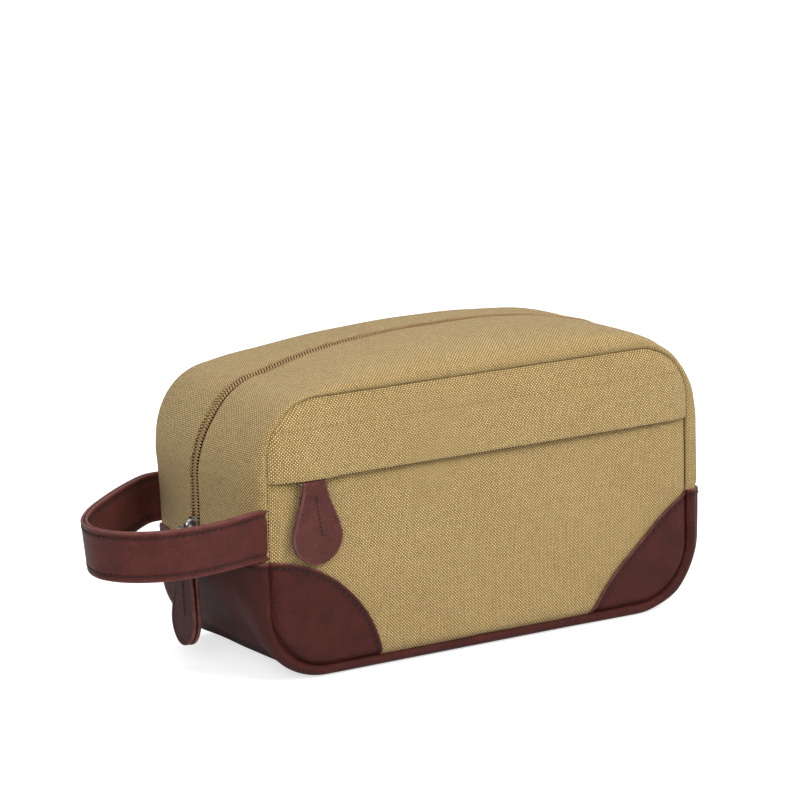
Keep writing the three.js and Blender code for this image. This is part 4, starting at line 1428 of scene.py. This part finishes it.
def makeSeamStitches():
    x = np.linspace(-bag["seamX"] + 0.004, bag["seamX"] - 0.004, 120)
    z = np.full_like(x, flapLook["stitchZ"])
    points = np.stack([x, -flapBulge(x, z) - 0.00002, z], axis=1)
    small = {**stitchLook, "length": 0.0026, "pitch": 0.0031, "radius": 0.00028}
    top = stitchPiece("stitch_flap", [(points, np.tile([0.0, -1, 0], (len(x), 1)))], small)
    fit(top, "paleThread", "canvas", (), "front_half")
    lines = []
    y = np.linspace(-bag["seamReach"] + 0.0015, bag["seamReach"] - 0.0015, 70)
    z = bag["leatherTop"] - 0.0031
    for side in (-1, 1):
        out = lowerBulge(0, z) * lowerSection(side * bag["seamX"], z, y) + 0.0001
        points = np.stack([side * (bag["seamX"] + out), y, np.full_like(y, z)], axis=1)
        tangent = np.gradient(points, axis=0)
        normals = np.stack([side * np.abs(tangent[:, 1]), -side * tangent[:, 0], 0 * y], axis=1)
        lines.append((points, unit(normals)))
    fit(stitchPiece("stitch_base", lines), "darkThreadWithShade", "leather")


makeSeamStitches()

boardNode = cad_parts["base_board"]
boardNode.data.materials.clear()
boardNode.data.materials.append(finish["board"])

view = {
    "yaw": 32.11,
    "pitch": 11.62,
    "roll": -1.449,
    "distance": 1.81298,
    "lens": 162.03,
    "target": (-0.01521, 0, 0.11866),
}
stageLook = {
    "floor": (0.66, 0.66, 0.655, 1),
    "world": 0.56,
    "seen": 1.1,  # strength of the world where the camera sees it directly
    "glow": 0.66,
    "lights": {  # place, aim, size, power and colour
        "key": ((0.8, -1.6, 1.4), (0, 0, 0.05), 0.9, 32.0, (1, 0.98, 0.95)),
        "fill": ((-1.3, -1.5, 1.1), (0, 0, 0.07), 0.9, 19.0, (1, 1, 1)),
        "top": ((-0.1, 0.3, 1.9), (0, 0, 0.1), 1.2, 11.0, (1, 1, 1)),
    },
}


def makeCamera():
    yaw, pitch, roll = (math.radians(view[k]) for k in ("yaw", "pitch", "roll"))
    flat = math.cos(pitch)
    back = Vector((-math.sin(yaw) * flat, -math.cos(yaw) * flat, math.sin(pitch)))
    right = (-back).cross(Vector((0, 0, 1))).normalized()
    up = right.cross(-back)
    level = math.cos(roll) * right + math.sin(roll) * up
    upright = -math.sin(roll) * right + math.cos(roll) * up
    data = bpy.data.cameras.new("camera")
    data.lens = view["lens"]
    data.sensor_width = 36
    data.clip_end = 20
    camera = newObject("camera", data)
    axes = Matrix((level, upright, back)).transposed().to_4x4()
    place = Vector(view["target"]) + back * view["distance"]
    camera.matrix_world = Matrix.Translation(place) @ axes
    bpy.context.scene.camera = camera


def addLight(name, place, aim, size, power, colour):
    data = bpy.data.lights.new(name, "AREA")
    data.energy = power
    data.size = size
    data.color = colour
    light = newObject(name, data)
    light.location = place
    light.rotation_euler = (Vector(aim) - Vector(place)).to_track_quat("-Z", "Y").to_euler()


def makeStage():
    bpy.ops.object.select_all(action="DESELECT")
    bpy.ops.mesh.primitive_plane_add(size=12, location=(0, 0, 0))
    floor = bpy.context.active_object
    floor.name = "floor"
    material, tree, shader = newMaterial("paleFloor", 0.9)
    shader.inputs["Base Color"].default_value = stageLook["floor"]
    shader.inputs["Specular IOR Level"].default_value = 0.1
    shader.inputs["Emission Color"].default_value = (1, 1, 1, 1)
    seen = tree.nodes.new("ShaderNodeLightPath").outputs["Is Camera Ray"]
    tree.links.new(calc(tree, "MULTIPLY", seen, stageLook["glow"]), shader.inputs["Emission Strength"])
    floor.data.materials.append(material)
    world = bpy.data.worlds.new("studio")
    world.use_nodes = True
    tree = world.node_tree
    background = tree.nodes["Background"].inputs
    background["Color"].default_value = (1, 1, 1, 1)
    seen = tree.nodes.new("ShaderNodeLightPath").outputs["Is Camera Ray"]
    extra = stageLook["seen"] - stageLook["world"]
    strength = calc(tree, "MULTIPLY_ADD", seen, extra, stageLook["world"])
    tree.links.new(strength, background["Strength"])
    bpy.context.scene.world = world
    for name, light in stageLook["lights"].items():
        addLight(name, *light)
    bpy.context.scene.view_settings.view_transform = "Standard"
    bpy.context.scene.view_settings.look = "None"


makeCamera()
makeStage()
print("stage made")
